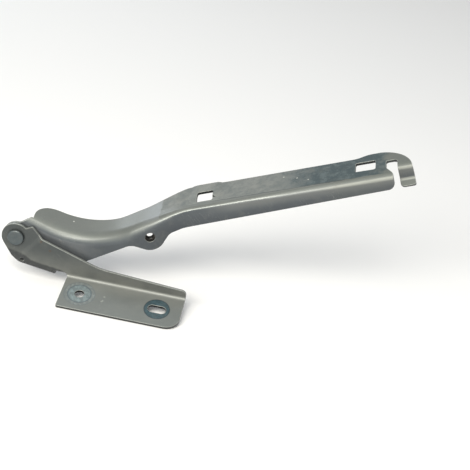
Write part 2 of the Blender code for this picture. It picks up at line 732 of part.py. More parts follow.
def top_frame():
    """Return the frame on the arm's top: along the straight, across it, and out of it."""
    direction = straight_direction()
    along = Vector((direction.x, 0, direction.y))
    near = straight_point(STRAIGHT_LENGTH, 0)
    across = (straight_point(STRAIGHT_LENGTH, TOP_WIDTH) - near).normalized()
    frame = Matrix((along, across, along.cross(across))).transposed().to_4x4()
    frame.translation = near - along * STRAIGHT_LENGTH
    return frame


def rectangle(station, across, length, width):
    """Return a rounded rectangle on the arm's top."""
    corners = [(-1, -1), (1, -1), (1, 1), (-1, 1)]
    return rounded([(station + a * length / 2, across / cos(TOP_TILT) + b * width / 2, HOLE_CORNER_RADIUS)
                    for a, b in corners])


def ear_frame():
    """Return the frame on the ear's near face: its third axis points out of the back."""
    rise = arm_face_y(EAR_X + TRIM) - arm_face_y(EAR_X - TRIM)
    along = Vector((2 * TRIM, rise, 0)).normalized()
    back = Vector((-along.y, along.x, 0))
    frame = Matrix((along, Vector((0, 0, 1)), back)).transposed().to_4x4()
    frame.translation = (EAR_X, arm_face_y(EAR_X), EAR_Z)
    return frame


def make_arm(material):
    """Make the bonnet arm with its lobe, gooseneck, ear, holes and hook."""
    arm = sheet_metal("bonnet_arm", arm_patches(), ARM_SHEET, material)
    arm.location = PIVOT
    top = top_frame()
    side = side_frame()
    rear = rectangle(REAR_HOLE_STATION, REAR_HOLE_ACROSS, REAR_HOLE_LENGTH, REAR_HOLE_WIDTH)
    front_station = STRAIGHT_LENGTH - FRONT_HOLE_SETBACK
    front = rectangle(front_station, FRONT_HOLE_ACROSS, FRONT_HOLE_LENGTH, FRONT_HOLE_WIDTH)
    bush_hole = arc((0, 0), BUSH_RADIUS + GAP, 0, 2 * pi)[:-1]
    ear_hole = arc((0, 0), EAR_HOLE_DIAMETER / 2, 0, 2 * pi)[:-1]
    through = 3 * ARM_SHEET
    behind_bend = ARM_FACE_Y + ARM_JOG + ARM_BEND_RADIUS + TRIM
    cutters = [
        prism("web_waste", web_waste(), side, ARM_FACE_Y - FAR / 2, behind_bend),
        prism("top_waste", top_waste(), Matrix.Identity(4), -FAR, 2 * FAR),
        prism("hook_waste", hook_waste(), top, -FAR / 2, FAR / 2),
        prism("notch", notch_waste(), top, -FAR / 2, through),
        prism("rear_hole", rear, top, -through, through),
        prism("front_hole", front, top, -through, through),
        prism("bush_hole", bush_hole, side, ARM_FACE_Y - through, ARM_FACE_Y + through),
        prism("ear_hole", ear_hole, ear_frame(), -through, through),
    ]
    for cutter in cutters:
        cutter.location = PIVOT
    cut(arm, cutters)


# Pivot and fasteners

def make_rivet(material):
    """Make the pivot rivet: domed-edge head, shank and the closing head formed behind the arm."""
    head = RIVET_HEAD_DIAMETER / 2
    shank = RIVET_SHANK_DIAMETER / 2
    back = CLOSING_HEAD_DIAMETER / 2
    front_y = PAD_Y - GAP - RIVET_HEAD_HEIGHT
    edge = RIVET_HEAD_EDGE
    rim = arc((head - edge, front_y + edge), edge, -pi / 2, 0)
    closing_y = CLOSING_HEAD_Y + CLOSING_HEAD_HEIGHT
    dome = arc((back - 2 * edge, closing_y - 2 * edge), 2 * edge, 0, pi / 2)
    profile = [(0, front_y)] + [tuple(p) for p in rim]
    profile += [(head, PAD_Y - GAP), (shank, PAD_Y - GAP), (shank, CLOSING_HEAD_Y), (back, CLOSING_HEAD_Y)]
    profile += [tuple(p) for p in dome] + [(0, closing_y)]
    turned("pivot_rivet", profile, material, closed=False)


def make_bush(material):
    """Make the flanged bush that the arm turns on."""
    sleeve_end = WASHER_Y - GAP
    flange = BUSH_FLANGE_DIAMETER / 2
    flange_back = BUSH_FLANGE_Y + BUSH_FLANGE_THICKNESS
    profile = [(BUSH_BORE, BUSH_FLANGE_Y), (flange, BUSH_FLANGE_Y), (flange, flange_back),
               (BUSH_RADIUS, flange_back), (BUSH_RADIUS, sleeve_end), (BUSH_BORE, sleeve_end)]
    turned("pivot_bush", profile, material)


def make_washer(material):
    """Make the washer between the arm and the rivet's closing head."""
    outer = WASHER_DIAMETER / 2
    back = WASHER_Y + WASHER_THICKNESS
    profile = [(BUSH_BORE, WASHER_Y), (outer, WASHER_Y), (outer, back), (BUSH_BORE, back)]
    turned("pivot_washer", profile, material)


def make_weld_nut(material):
    """Make the hexagonal nut welded behind the ear, for the stay's ball stud."""
    corner = WELD_NUT_ACROSS_FLATS / 2 / cos(pi / 6)
    start = ARM_SHEET + WELD_NUT_STANDOFF
    outline = [Vector((corner * cos(pi * k / 3), corner * sin(pi * k / 3))) for k in range(6)]
    bore = arc((0, 0), WELD_NUT_BORE / 2, 0, 2 * pi)[:-1]
    nut = prism("ear_weld_nut", outline, ear_frame(), start, start + WELD_NUT_HEIGHT)
    nut.hide_render = False
    nut.display_type = "TEXTURED"
    nut.data.materials[0] = material
    cut(nut, [prism("nut_bore", bore, ear_frame(), 0, start + 2 * WELD_NUT_HEIGHT)])
    nut.location = PIVOT


def main():
    """Clear the scene and build the hinge."""
    for thing in list(bpy.data.objects):
        bpy.data.objects.remove(thing)
    arm_paint = painted_steel("arm_paint", (0.26, 0.27, 0.24), 0.38, 0.45)
    bracket_paint = painted_steel("bracket_paint", (0.20, 0.21, 0.19), 0.40, 0.45)
    rivet_steel = painted_steel("rivet_steel", (0.15, 0.18, 0.19), 0.42, 0.6)
    bush_steel = painted_steel("bush_steel", (0.30, 0.30, 0.28), 0.45, 0.7)
    nut_steel = painted_steel("nut_steel", (0.12, 0.13, 0.13), 0.5, 0.7)
    make_bracket(bracket_paint)
    make_rivet(rivet_steel)
    make_bush(bush_steel)
    make_washer(bush_steel)
    make_arm(arm_paint)
    make_weld_nut(nut_steel)


main()
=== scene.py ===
# %% [markdown]
# # A used bonnet hinge
# This hinge carries one side of a car's bonnet. A pressed arm swings on a riveted pivot at the end
# of a folded bracket, and the bracket is bolted to the body through a hole and a slot. Both
# pressings are 3 mm steel sheet that was dipped in blue-grey primer and then sprayed champagne grey
# together with the car, so the paint is missing wherever something covered the metal in the booth.
# The lesson starts from the CAD model and gives it the finish of the real thing.

import json
from math import asin, cos, pi, radians, sin

import bpy
from mathutils import Matrix, Vector


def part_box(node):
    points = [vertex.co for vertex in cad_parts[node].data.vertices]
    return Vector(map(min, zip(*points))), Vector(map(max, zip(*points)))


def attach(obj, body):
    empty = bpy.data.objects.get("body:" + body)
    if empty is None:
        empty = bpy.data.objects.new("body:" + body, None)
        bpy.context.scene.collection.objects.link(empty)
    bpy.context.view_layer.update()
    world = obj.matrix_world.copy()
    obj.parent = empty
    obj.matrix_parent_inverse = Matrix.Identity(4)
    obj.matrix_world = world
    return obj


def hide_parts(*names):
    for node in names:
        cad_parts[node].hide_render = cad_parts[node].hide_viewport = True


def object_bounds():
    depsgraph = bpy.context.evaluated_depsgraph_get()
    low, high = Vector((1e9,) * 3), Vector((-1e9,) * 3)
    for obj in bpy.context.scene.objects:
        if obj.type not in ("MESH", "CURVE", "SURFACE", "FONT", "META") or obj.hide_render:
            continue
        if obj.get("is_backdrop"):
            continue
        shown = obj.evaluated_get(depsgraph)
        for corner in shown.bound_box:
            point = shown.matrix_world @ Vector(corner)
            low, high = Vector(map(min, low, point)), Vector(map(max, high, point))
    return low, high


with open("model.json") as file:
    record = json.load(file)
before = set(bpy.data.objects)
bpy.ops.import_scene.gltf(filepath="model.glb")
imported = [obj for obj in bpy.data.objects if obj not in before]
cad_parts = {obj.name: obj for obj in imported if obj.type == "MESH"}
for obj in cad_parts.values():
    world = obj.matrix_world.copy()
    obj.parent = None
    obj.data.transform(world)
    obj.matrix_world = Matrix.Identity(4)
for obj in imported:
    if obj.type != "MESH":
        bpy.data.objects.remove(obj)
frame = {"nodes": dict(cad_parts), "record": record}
cad_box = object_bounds()
MM = 0.001


def in_mm(lengths, digits=1):
    """Return lengths in millimetres, rounded for printing."""
    return [round(length / MM, digits) for length in lengths]


print("CAD box in mm:", [in_mm(corner) for corner in cad_box])

# %% [markdown]
# ## Places that everything is set out from
# The paint marks sit round the holes and the pivot, so their centres are read from the record of
# the model and not typed again. The straight part of the arm climbs at 22.6 degrees, and marks on
# it are placed by their station along that straight.

# %% Read the places
STRAIGHT_CLIMB = radians(22.6)
record = frame["record"]
hinge_pin = Vector(record["behaviour"]["joints"][0]["pos_m"])
mounts = {mount["name"]: mount for mount in record["mounts"]}
openings = {opening["name"]: opening["box_m"] for opening in record["physics"]["openings"]}


def opening_centre(name):
    """Return the middle of an opening's box."""
    low, high = openings[name]
    return (Vector(low) + Vector(high)) / 2


bolt_hole = opening_centre("bolt_hole")
bolt_slot = opening_centre("bolt_slot")
rear_hole = opening_centre("rear_bonnet_hole")
front_hole = opening_centre("front_bonnet_hole")
flange_up = -Vector(mounts["bracket_base"]["axis"])
arm_top_up = Vector(mounts["bonnet_face"]["axis"])
ear_face = Vector(mounts["stay_face"]["pos_m"])
along_straight = Vector((cos(STRAIGHT_CLIMB), 0, sin(STRAIGHT_CLIMB)))
across_straight = arm_top_up.cross(along_straight).normalized()
print("Pin in mm:", in_mm(hinge_pin))

# %% [markdown]
# ## Camera
# The picture's viewpoint was solved once from shapes that are known to be round: 28 degrees above
# the floor, 4 degrees to the right, with the camera rolled by 9.3 degrees. Only those few numbers
# are kept here, and the camera's matrix is made from them.

# %% Set the camera
VIEW_AZIMUTH = radians(4)
VIEW_ELEVATION = radians(28)
VIEW_ROLL = radians(9.3)
FOCAL_PIXELS = 1300
IMAGE_PIXELS = 470
VIEW_DISTANCE = 1300 * MM
AIM = Vector((0, 0, 3.12 * MM))
AIM_PIXEL = (118, 301.5)

back = Vector((sin(VIEW_AZIMUTH) * cos(VIEW_ELEVATION), -cos(VIEW_AZIMUTH) * cos(VIEW_ELEVATION),
               sin(VIEW_ELEVATION)))
level = Vector((cos(VIEW_AZIMUTH), sin(VIEW_AZIMUTH), 0))
upright = back.cross(level)
right = level * cos(VIEW_ROLL) + upright * sin(VIEW_ROLL)
up = upright * cos(VIEW_ROLL) - level * sin(VIEW_ROLL)
per_pixel = VIEW_DISTANCE / FOCAL_PIXELS
offset = right * (AIM_PIXEL[0] - IMAGE_PIXELS / 2) + up * (IMAGE_PIXELS / 2 - AIM_PIXEL[1])
camera_data = bpy.data.cameras.new("viewpoint")
camera_data.sensor_width = 36
camera_data.lens = FOCAL_PIXELS / IMAGE_PIXELS * camera_data.sensor_width
camera_data.clip_end = 20
camera = bpy.data.objects.new("viewpoint", camera_data)
bpy.context.scene.collection.objects.link(camera)
camera.matrix_world = Matrix((right, up, back)).transposed().to_4x4()
camera.location = AIM - offset * per_pixel + back * VIEW_DISTANCE
bpy.context.scene.camera = camera
bpy.context.scene.view_settings.view_transform = "Standard"
print("Camera in mm:", in_mm(camera.location, 0))

# %% [markdown]
# ## Helpers that model as by hand
# Blender's operators act on whatever is selected, so each step starts by choosing one object. The
# helpers below keep that in one place.

# %% Object helpers


def mode(kind):
    """Go into edit or object mode; kind is EDIT or OBJECT."""
    bpy.ops.object.mode_set(mode=kind)


def pick(thing):
    """Select one object alone and make it active."""
    if bpy.context.object and bpy.context.object.mode != "OBJECT":
        mode("OBJECT")
    bpy.ops.object.select_all(action="DESELECT")
    thing.select_set(True)
    bpy.context.view_layer.objects.active = thing


def deselect_all(thing, kind):
    """Make one object active with none of its parts selected; kind is VERT, EDGE or FACE."""
    pick(thing)
    mode("EDIT")
    bpy.ops.mesh.select_mode(type=kind)
    bpy.ops.mesh.select_all(action="DESELECT")
    mode("OBJECT")


def settle():
    """Make the active object's place, turn and size part of its mesh."""
    bpy.ops.object.transform_apply(location=True, rotation=True, scale=True)


def finish_mesh(thing, body, node, smooth):
    """Shade a finished piece, stand it for its CAD node and let it ride on its body."""
    pick(thing)
    settle()
    bpy.ops.object.shade_smooth_by_angle(angle=radians(smooth))
    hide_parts(node)
    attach(thing, body)
    spans = list(zip(*(vertex.co for vertex in thing.data.vertices)))
    print(thing.name, "faces", len(thing.data.polygons), "box in mm", in_mm(map(min, spans)),
          in_mm(map(max, spans)))


# %% [markdown]
# ## Node helpers
# A shader is a row of small sums. This little class adds a node, sets its inputs and wires its
# sources in one call, so that each effect reads from top to bottom.

# %% Node helper


class Wires:
    """Adds nodes to one node tree. An input's value is either a plain value or a socket."""

    def __init__(self, tree):
        self.tree = tree

    def put(self, targets, values):
        """Give inputs their values, by name or number: sockets are wired, plain values are set."""
        for key, value in values.items():
            if isinstance(value, bpy.types.NodeSocket):
                self.tree.links.new(value, targets[key])
            else:
                targets[key].default_value = value

    def node(self, kind, inputs=None, **settings):
        """Add one node with its settings and inputs."""
        made = self.tree.nodes.new("ShaderNode" + kind)
        for name, value in settings.items():
            setattr(made, name, value)
        self.put(made.inputs, inputs or {})
        return made

    def group(self, tree, inputs):
        """Place a node group with its own values and return its outputs."""
        return self.node("Group", inputs, node_tree=tree).outputs

    def part(self, vector, axis):
        """Return one coordinate of a vector."""
        return self.node("SeparateXYZ", {0: vector}).outputs[axis]

    def sum(self, operation, a, b=0.0, clamp=False):
        """Combine two numbers."""
        return self.node("Math", {0: a, 1: b}, operation=operation, use_clamp=clamp).outputs[0]

    def plus(self, a, b, clamp=False):
        """Add two numbers."""
        return self.sum("ADD", a, b, clamp)

    def minus(self, a, b, clamp=False):
        """Take the second number from the first."""
        return self.sum("SUBTRACT", a, b, clamp)

    def times(self, product, *others):
        """Multiply numbers."""
        for other in others:
            product = self.sum("MULTIPLY", product, other)
        return product

    def vector(self, operation, a, b=(0, 0, 0)):
        """Combine two vectors into a vector."""
        return self.node("VectorMath", {0: a, 1: b}, operation=operation).outputs[0]

    def reach(self, operation, a, b=(0, 0, 0)):
        """Combine two vectors into a number: their dot product, distance or a length."""
        return self.node("VectorMath", {0: a, 1: b}, operation=operation).outputs[1]

    def noise(self, place, scale, detail=2.0, roughness=0.5, stretch=None):
        """Return smooth noise from 0 to 1, with the scale in features per metre."""
        if stretch:
            place = self.vector("MULTIPLY", place, stretch)
        return self.node("TexNoise", {"Vector": place, "Scale": scale, "Detail": detail,
                                      "Roughness": roughness}).outputs["Fac"]

    def step(self, value, start, end):
        """Rise softly from 0 to 1 while the value goes from start to end."""
        return self.node("MapRange", {"Value": value, "From Min": start, "From Max": end},
                         interpolation_type="SMOOTHSTEP").outputs[0]

    def band(self, value, start, end, soft):
        """Return 1 between start and end, with soft sides."""
        return self.times(self.step(value, start - soft, start + soft),
                          self.step(value, end + soft, end - soft))

    def blend(self, share, a, b, how="MIX"):
        """Mix two colours."""
        return self.node("Mix", {0: share, 6: a, 7: b}, data_type="RGBA", blend_type=how,
                         clamp_factor=True).outputs[2]

    def lay(self, colour, tone, *masks):
        """Lay a tone over a colour where every mask is 1."""
        return self.blend(self.times(*masks), colour, tone)


def start_group(name, inputs, outputs):
    """Make an empty node group with named inputs and outputs, and return its wires and ends."""
    tree = bpy.data.node_groups.new(name, "ShaderNodeTree")
    kinds = {float: "NodeSocketFloat", tuple: "NodeSocketVector", list: "NodeSocketColor"}
    for label, value in inputs.items():
        socket = tree.interface.new_socket(label, in_out="INPUT", socket_type=kinds[type(value)])
        socket.default_value = value
    for label, kind in outputs.items():
        tree.interface.new_socket(label, in_out="OUTPUT", socket_type=kinds[kind])
    given = tree.nodes.new("NodeGroupInput").outputs
    return Wires(tree), given, tree.nodes.new("NodeGroupOutput").inputs


def count_nodes(name, tree):
    """Print how many nodes an effect or a material has."""
    print(name, "has", len(tree.nodes), "nodes")


# %% [markdown]
# ## Finish 1: champagne paint
# The colour coat is a metallic grey with a warm tint. Close up it has fine flakes and the faint
# waviness that painters call orange peel, and after years of use it is cloudy: slightly lighter
# where it was handled and duller where dust stuck to it. Upright faces are darker and cooler: partly
# a thinner coat, since the spray comes from above and the blue primer shows through, and partly
# painted shade. One group makes all of this from the piece's own coordinates and normals.

# %% Champagne paint
CHAMPAGNE = [0.119, 0.129, 0.117, 1.0]
# The colour of upright faces: darker and cooler, partly a thinner coat and partly painted shade.
THIN_SHADED_COAT = [0.080, 0.091, 0.100, 1.0]


def build_paint():
    """Build the group for sprayed metallic paint, with upright faces darker, partly as painted shade."""
    wires, given, result = start_group(
        "sprayed_paint",
        {"Place": (0.0, 0.0, 0.0), "Normal": (0.0, 0.0, 1.0), "Colour": CHAMPAGNE, "Thin and shaded": THIN_SHADED_COAT,
         "Cloudiness": 0.16, "Flake": 0.10, "Roughness": 0.34},
        {"Colour": list, "Roughness": float, "Height": float, "Lean": float})
    place = given["Place"]
    lean = wires.step(wires.sum("ABSOLUTE", wires.part(given["Normal"], 2)), 0.80, 0.10)
    # Upright faces take the darker colour: partly a thinner coat, partly painted shade.
    base = wires.blend(lean, given["Colour"], given["Thin and shaded"])
    clouds = wires.noise(place, 38.0, 3.0, 0.55)
    flakes = wires.noise(place, 2600.0, 1.0, 0.6)
    shade = wires.plus(wires.times(wires.minus(clouds, 0.5), given["Cloudiness"]),
                       wires.times(wires.minus(flakes, 0.5), given["Flake"]))
    bright = wires.plus(wires.times(shade, 2.0), 1.0)
    tint = wires.node("CombineColor", {0: bright, 1: bright, 2: bright}).outputs[0]
    colour = wires.blend(1.0, base, tint, "MULTIPLY")
    peel = wires.noise(place, 420.0, 1.0, 0.4)
    rough = wires.plus(given["Roughness"], wires.times(wires.minus(clouds, 0.5), 0.16))
    relief = wires.plus(peel, wires.times(flakes, 0.12))
    wires.put(result, {"Colour": colour, "Roughness": rough, "Lean": lean, "Height": relief})
    return wires.tree


sprayed_paint = build_paint()
count_nodes("Group sprayed_paint", sprayed_paint)

# %% [markdown]
# ## Finish 2: wear from handling
# A part that was taken off a car has hair-fine scratches, small nicks down to the primer and dust.
# The scratches are noise stretched far along two directions and cut to its thin crest lines. The
# nicks are the centres of widely spread cells.

# %% Handling wear
SCRATCH_WAYS = (((0.3, 0.2, 0.5), (55.0, 900.0, 900.0)), ((1.1, -0.4, -0.7), (40.0, 700.0, 700.0)))


def build_wear():
    """Build the group that gives the masks of scratches, nicks and dust."""
    wires, given, result = start_group(
        "handling_wear",
        {"Place": (0.0, 0.0, 0.0), "Scratches": 0.5, "Nicks": 0.5, "Dust": 0.5},
        {"Scratches": float, "Nicks": float, "Dust": float})
    place = given["Place"]
    scratch = 0.0
    for turn, stretch in SCRATCH_WAYS:
        turned = wires.node("VectorRotate", {"Vector": place, "Rotation": turn},
                            rotation_type="EULER_XYZ").outputs[0]
        line = wires.noise(turned, 1.0, 0.0, 0.5, stretch)
        crest = wires.step(wires.sum("ABSOLUTE", wires.minus(line, 0.5)), 0.012, 0.002)
        patch = wires.step(wires.noise(turned, 42.0, 1.0, 0.5), 0.56, 0.68)
        scratch = wires.sum("MAXIMUM", wires.times(crest, patch), scratch)
    cells = wires.node("TexVoronoi", {"Vector": place, "Scale": 90.0}, feature="F1")
    size = wires.noise(place, 60.0, 1.0, 0.5)
    reach = wires.times(wires.step(size, 0.50, 0.78), 0.085)
    ragged = wires.times(wires.noise(place, 1500.0, 2.0, 0.6), 0.06)
    nick = wires.step(wires.minus(wires.plus(cells.outputs["Distance"], ragged), reach), 0.035, 0.025)
    dust = wires.step(wires.noise(place, 70.0, 5.0, 0.7), 0.48, 0.75)
    for label, mask in (("Scratches", scratch), ("Nicks", nick), ("Dust", dust)):
        wires.put(result, {label: wires.times(mask, given[label])})
    return wires.tree


handling_wear = build_wear()
count_nodes("Group handling_wear", handling_wear)

# %% [markdown]
# ## Finish 3: rings left by bolt heads
# A bolt that is in place while the car is sprayed keeps the paint off a round patch. When it comes
# off, the patch shows the blue-grey primer and its rim stays as a fine dark line. The group measures
# how far a point lies from the hole's axis and turns that distance into a patch and a rim.

# %% Bolt rings


def build_ring():
    """Build the group that gives the masks of a round patch and its rim on one face."""
    wires, given, result = start_group(
        "bolt_ring",
        {"Place": (0.0, 0.0, 0.0), "Centre": (0.0, 0.0, 0.0), "Axis": (0.0, 0.0, 1.0),
         "Radius": 12.0 * MM, "Rim": 0.8 * MM, "Ragged": 0.5 * MM},
        {"Patch": float, "Rim": float})
    place = given["Place"]
    away = wires.vector("SUBTRACT", place, given["Centre"])
    height = wires.reach("DOT_PRODUCT", away, given["Axis"])
    lift = wires.node("VectorMath", {0: given["Axis"], "Scale": height}, operation="SCALE").outputs[0]
    distance = wires.reach("LENGTH", wires.vector("SUBTRACT", away, lift))
    wobble = wires.minus(wires.noise(place, 260.0, 3.0, 0.6), 0.5)
    seen = wires.plus(distance, wires.times(wobble, given["Ragged"]))
    side = wires.step(height, -1.2 * MM, -0.6 * MM)
    inside = wires.step(wires.minus(seen, given["Radius"]), 0.25 * MM, -0.25 * MM)
    gap = wires.sum("ABSOLUTE", wires.minus(seen, given["Radius"]))
    rim = wires.step(wires.sum("DIVIDE", gap, given["Rim"]), 1.0, 0.35)
    wires.put(result, {"Patch": wires.times(inside, side), "Rim": wires.times(rim, side)})
    return wires.tree


bolt_ring = build_ring()
count_nodes("Group bolt_ring", bolt_ring)

# %% [markdown]
# ## Finish 4: primer and overspray
# The dip leaves an even blue-grey primer on every surface, inside and out. The colour coat was then
# sprayed from above and from the front, so the back only caught a thin, cloudy overspray and the
# undersides kept the bare primer, which is painted dark there as shade. How far a surface is turned
# away from the spray gun is read from its own normal, which turns with the piece when the hinge opens.

# %% Primer, overspray and painted shade below
PRIMER = [0.050, 0.070, 0.076, 1.0]
PALE_PRIMER = [0.132, 0.162, 0.164, 1.0]


def build_primer():
    """Build the group for the primer's colour, how well a face was sprayed and painted shade below."""
    wires, given, result = start_group(
        "dip_primer",
        {"Place": (0.0, 0.0, 0.0), "Normal": (0.0, 0.0, 1.0), "Gun": (0.0, -0.6, 0.8), "Colour": PRIMER},
        {"Colour": list, "Sprayed": float, "Shaded under": float})
    place = given["Place"]
    mottle = wires.noise(place, 120.0, 5.0, 0.68)
    speck = wires.noise(place, 620.0, 3.0, 0.65)
    pale = wires.plus(wires.times(wires.step(mottle, 0.44, 0.70), 0.55),
                      wires.times(wires.step(speck, 0.56, 0.74), 0.55))
    colour = wires.blend(pale, given["Colour"], PALE_PRIMER)
    turned = wires.reach("DOT_PRODUCT", given["Normal"], given["Gun"])
    cloud = wires.times(wires.minus(wires.noise(place, 45.0, 4.0, 0.6), 0.5), 0.7)
    sprayed = wires.step(wires.plus(turned, cloud), -1.05, 0.05)
    # Faces that look down are painted dark as shade.
    shaded_under = wires.step(wires.minus(wires.times(cloud, 0.3), wires.part(given["Normal"], 2)), 0.04, 0.36)
    wires.put(result, {"Colour": colour, "Sprayed": sprayed, "Shaded under": shaded_under})
    return wires.tree


dip_primer = build_primer()
count_nodes("Group dip_primer", dip_primer)

# %% [markdown]
# ## Starting a material
# Each painted material begins the same way: a Principled shader, the paint, the primer under it and
# the wear over it. The end of a material is the same too: faces that look down are painted dark as
# shade, dust greys and dulls the colour, scratches lighten it, nicks show the primer, and all of them
# dent the surface a little.

# %% Start and end of a painted material
DUST = [0.20, 0.20, 0.18, 1.0]
SCRATCH = [0.27, 0.28, 0.26, 1.0]
# This dark tone is painted shade on faces that look down and on hole walls, and also colours the dark
# band along the bracket's stop.
DARK_TONE = [0.014, 0.017, 0.018, 1.0]
COAT_WEIGHT = 0.35
COAT_ROUGHNESS = 0.20
DENT_DEPTH = 0.06 * MM


class Finish:
    """One painted material while it is being put together."""

    def __init__(self, name, colour, roughness, metallic, wear, cloudiness=0.16, thin_and_shaded=None):
        scratches, nicks, dust = wear
        self.material = bpy.data.materials.new(name)
        self.material.use_nodes = True
        self.material.node_tree.nodes.clear()
        self.wires = wires = Wires(self.material.node_tree)
        self.shader = wires.node("BsdfPrincipled", {"Coat Weight": COAT_WEIGHT,
                                                    "Coat Roughness": COAT_ROUGHNESS})
        wires.node("OutputMaterial", {0: self.shader.outputs[0]})
        here = wires.node("TexCoord").outputs
        self.place, self.normal = here["Object"], here["Normal"]
        self.paint = wires.group(sprayed_paint, {
            "Place": self.place, "Normal": self.normal, "Colour": colour, "Thin and shaded": thin_and_shaded or colour,
            "Roughness": roughness, "Cloudiness": cloudiness})
        self.colour, self.rough, self.lean = map(self.paint.get, ("Colour", "Roughness", "Lean"))
        self.primer = wires.group(dip_primer, {"Place": self.place, "Normal": self.normal})
        self.marks = wires.group(handling_wear, {
            "Place": self.place, "Scratches": scratches, "Nicks": nicks, "Dust": dust})
        self.metallic = wires.plus(wires.times(self.lean, (1 - metallic) / 2), metallic)
        self.set(Metallic=self.metallic)

    def set(self, **values):
        """Wire values that change over the surface to the shader; _ stands for a space."""
        for name, value in values.items():
            self.wires.put(self.shader.inputs, {name.replace("_", " "): value})

    def spot(self, colour, centre, radius, tone, share=0.8):
        """Add one small stain or speck at a place on the metal."""
        ragged = self.wires.times(self.wires.noise(self.place, 900.0, 2.0, 0.6), radius)
        gap = self.wires.plus(self.wires.reach("DISTANCE", self.place, centre), ragged)
        mask = self.wires.step(gap, radius * 1.7, radius * 1.1)
        return self.wires.lay(colour, tone, mask, share)

    def close(self, colour, roughness, bump=0.25):
        """Lay primer, painted shade below, dust and wear on the colour; wire and return the material."""
        wires, marks = self.wires, self.marks
        colour = wires.blend(self.primer["Sprayed"], self.primer["Colour"], colour)
        # Painted shade: faces that look down are darkened.
        colour = wires.lay(colour, DARK_TONE, self.primer["Shaded under"], 0.85)
        for label, tone in (("Dust", DUST), ("Scratches", SCRATCH), ("Nicks", PRIMER)):
            colour = wires.lay(colour, tone, marks[label])
        thin_and_shaded = wires.minus(1.0, self.primer["Sprayed"])
        roughness = wires.plus(roughness, wires.times(thin_and_shaded, 0.18))
        roughness = wires.plus(roughness, wires.times(marks["Dust"], 0.35), clamp=True)
        height = wires.minus(self.paint["Height"], wires.times(marks["Scratches"], 0.8))
        height = wires.minus(height, wires.times(marks["Nicks"], 2.0))
        relief = wires.node("Bump", {"Strength": bump, "Distance": DENT_DEPTH, "Height": height})
        self.set(Base_Color=colour, Roughness=roughness, Normal=relief.outputs[0])
        count_nodes("Material " + self.material.name, wires.tree)
        return self.material


# %% [markdown]
# ## The arm's paint
# On the car the bonnet's inner panel lay on the arm's flat top. There the colour coat is missing: a
# sharp line crosses the top just before the rear hole, a thin dark line runs along the crest, and
# towards the hook the surface turns to blotchy blue primer. Each of these borders is a distance
# along or across the straight, so they stay in place on the metal from every side.

# %% Arm paint: distances on the metal
finish = Finish("arm_paint", CHAMPAGNE, roughness=0.48, metallic=0.55, wear=(0.35, 0.5, 0.22),
                thin_and_shaded=THIN_SHADED_COAT)
wires, place = finish.wires, finish.place
from_hole = wires.vector("SUBTRACT", place, rear_hole)
station = wires.reach("DOT_PRODUCT", from_hole, along_straight)
across = wires.reach("DOT_PRODUCT", from_hole, across_straight)
height = wires.reach("DOT_PRODUCT", from_hole, arm_top_up)
facing = wires.reach("DOT_PRODUCT", finish.normal, arm_top_up)
wobble = wires.minus(wires.noise(place, 130.0, 4.0, 0.6), 0.5)
print("Stations count from the rear hole, in mm:", in_mm(rear_hole))

# %% Arm paint: where the bonnet lay
PAINT_LINE = -45 * MM
CREST_LINE = -10.5 * MM
CREST_LINE_DRIFT = -0.012
on_top = wires.times(wires.step(facing, 0.90, 0.97), wires.step(height, -2.2 * MM, -1.6 * MM))
started = wires.step(wires.plus(station, wires.times(wobble, 3 * MM)), PAINT_LINE - 0.5 * MM,
                     PAINT_LINE + 0.5 * MM)
ended = wires.step(wires.plus(station, wires.times(wobble, 30 * MM)), 190 * MM, 176 * MM)
side = wires.plus(across, wires.times(wobble, 2.5 * MM))
side = wires.minus(side, wires.times(station, CREST_LINE_DRIFT))
covered = wires.times(started, wires.step(side, CREST_LINE, CREST_LINE + 0.6 * MM), on_top, ended)
border = wires.times(wires.band(side, CREST_LINE - 0.4 * MM, CREST_LINE + 0.4 * MM, 0.25 * MM), on_top,
                     wires.band(station, 4 * MM, 150 * MM, 14 * MM))
print("The colour coat ends at station", round(PAINT_LINE / MM))

# %% [markdown]
# The colour is painted with light and shade. It is darker low on the straight's web (painted shade),
# paler just under the crest (painted highlight), paler and less metallic on the neck beside the
# bracket (painted light that lifts the shade there), and paler where the top climbs to the paint
# line (painted sheen).

# %% Arm paint: painted shade, highlight and sheen
LOW_SHADE_TONE = [0.050, 0.058, 0.066, 1.0]
CREST_HIGHLIGHT_TONE = [0.165, 0.172, 0.165, 1.0]
NECK_LIFT_TONE = [0.096, 0.105, 0.112, 1.0]
SHEEN_PAINT_TONE = [0.185, 0.200, 0.202, 1.0]
# Painted shade: the web darkens towards its lower edge.
low = wires.times(wires.step(height, -3 * MM, -19 * MM), wires.step(station, -75 * MM, -35 * MM),
                  finish.lean)
# Painted highlight: the web is paler just under the crest.
crest_highlight = wires.times(wires.step(height, -11 * MM, -2 * MM), wires.step(station, -10 * MM, 40 * MM),
                   finish.lean)
# Painted light: the neck's web is paler and less metallic, which lifts the shade beside the bracket.
neck_lift = wires.times(wires.step(finish.lean, 0.86, 1.0), wires.step(station, -108 * MM, -136 * MM))
# Painted sheen: the top is paler where it climbs to the paint line.
painted_sheen = wires.times(wires.step(station, -72 * MM, -50 * MM), wires.minus(1.0, started),
                    wires.step(facing, 0.75, 0.95))
coated = finish.colour
for mask, share, tone in ((low, 0.8, LOW_SHADE_TONE), (crest_highlight, 0.65, CREST_HIGHLIGHT_TONE), (neck_lift, 0.8, NECK_LIFT_TONE),
                          (painted_sheen, 0.6, SHEEN_PAINT_TONE)):
    coated = wires.lay(coated, tone, mask, share)
finish.set(Metallic=wires.minus(finish.metallic, wires.times(neck_lift, 0.50)))
count_nodes("The arm's paint", wires.tree)

# %% [markdown]
# Where the bonnet lay, a mist of overspray crept in from the rear and thins out into the bare primer.
# One noise draws the blotches and also breaks up the border between the two. Round the rear hole the
# washer of the bonnet's fixing kept a paler ring.

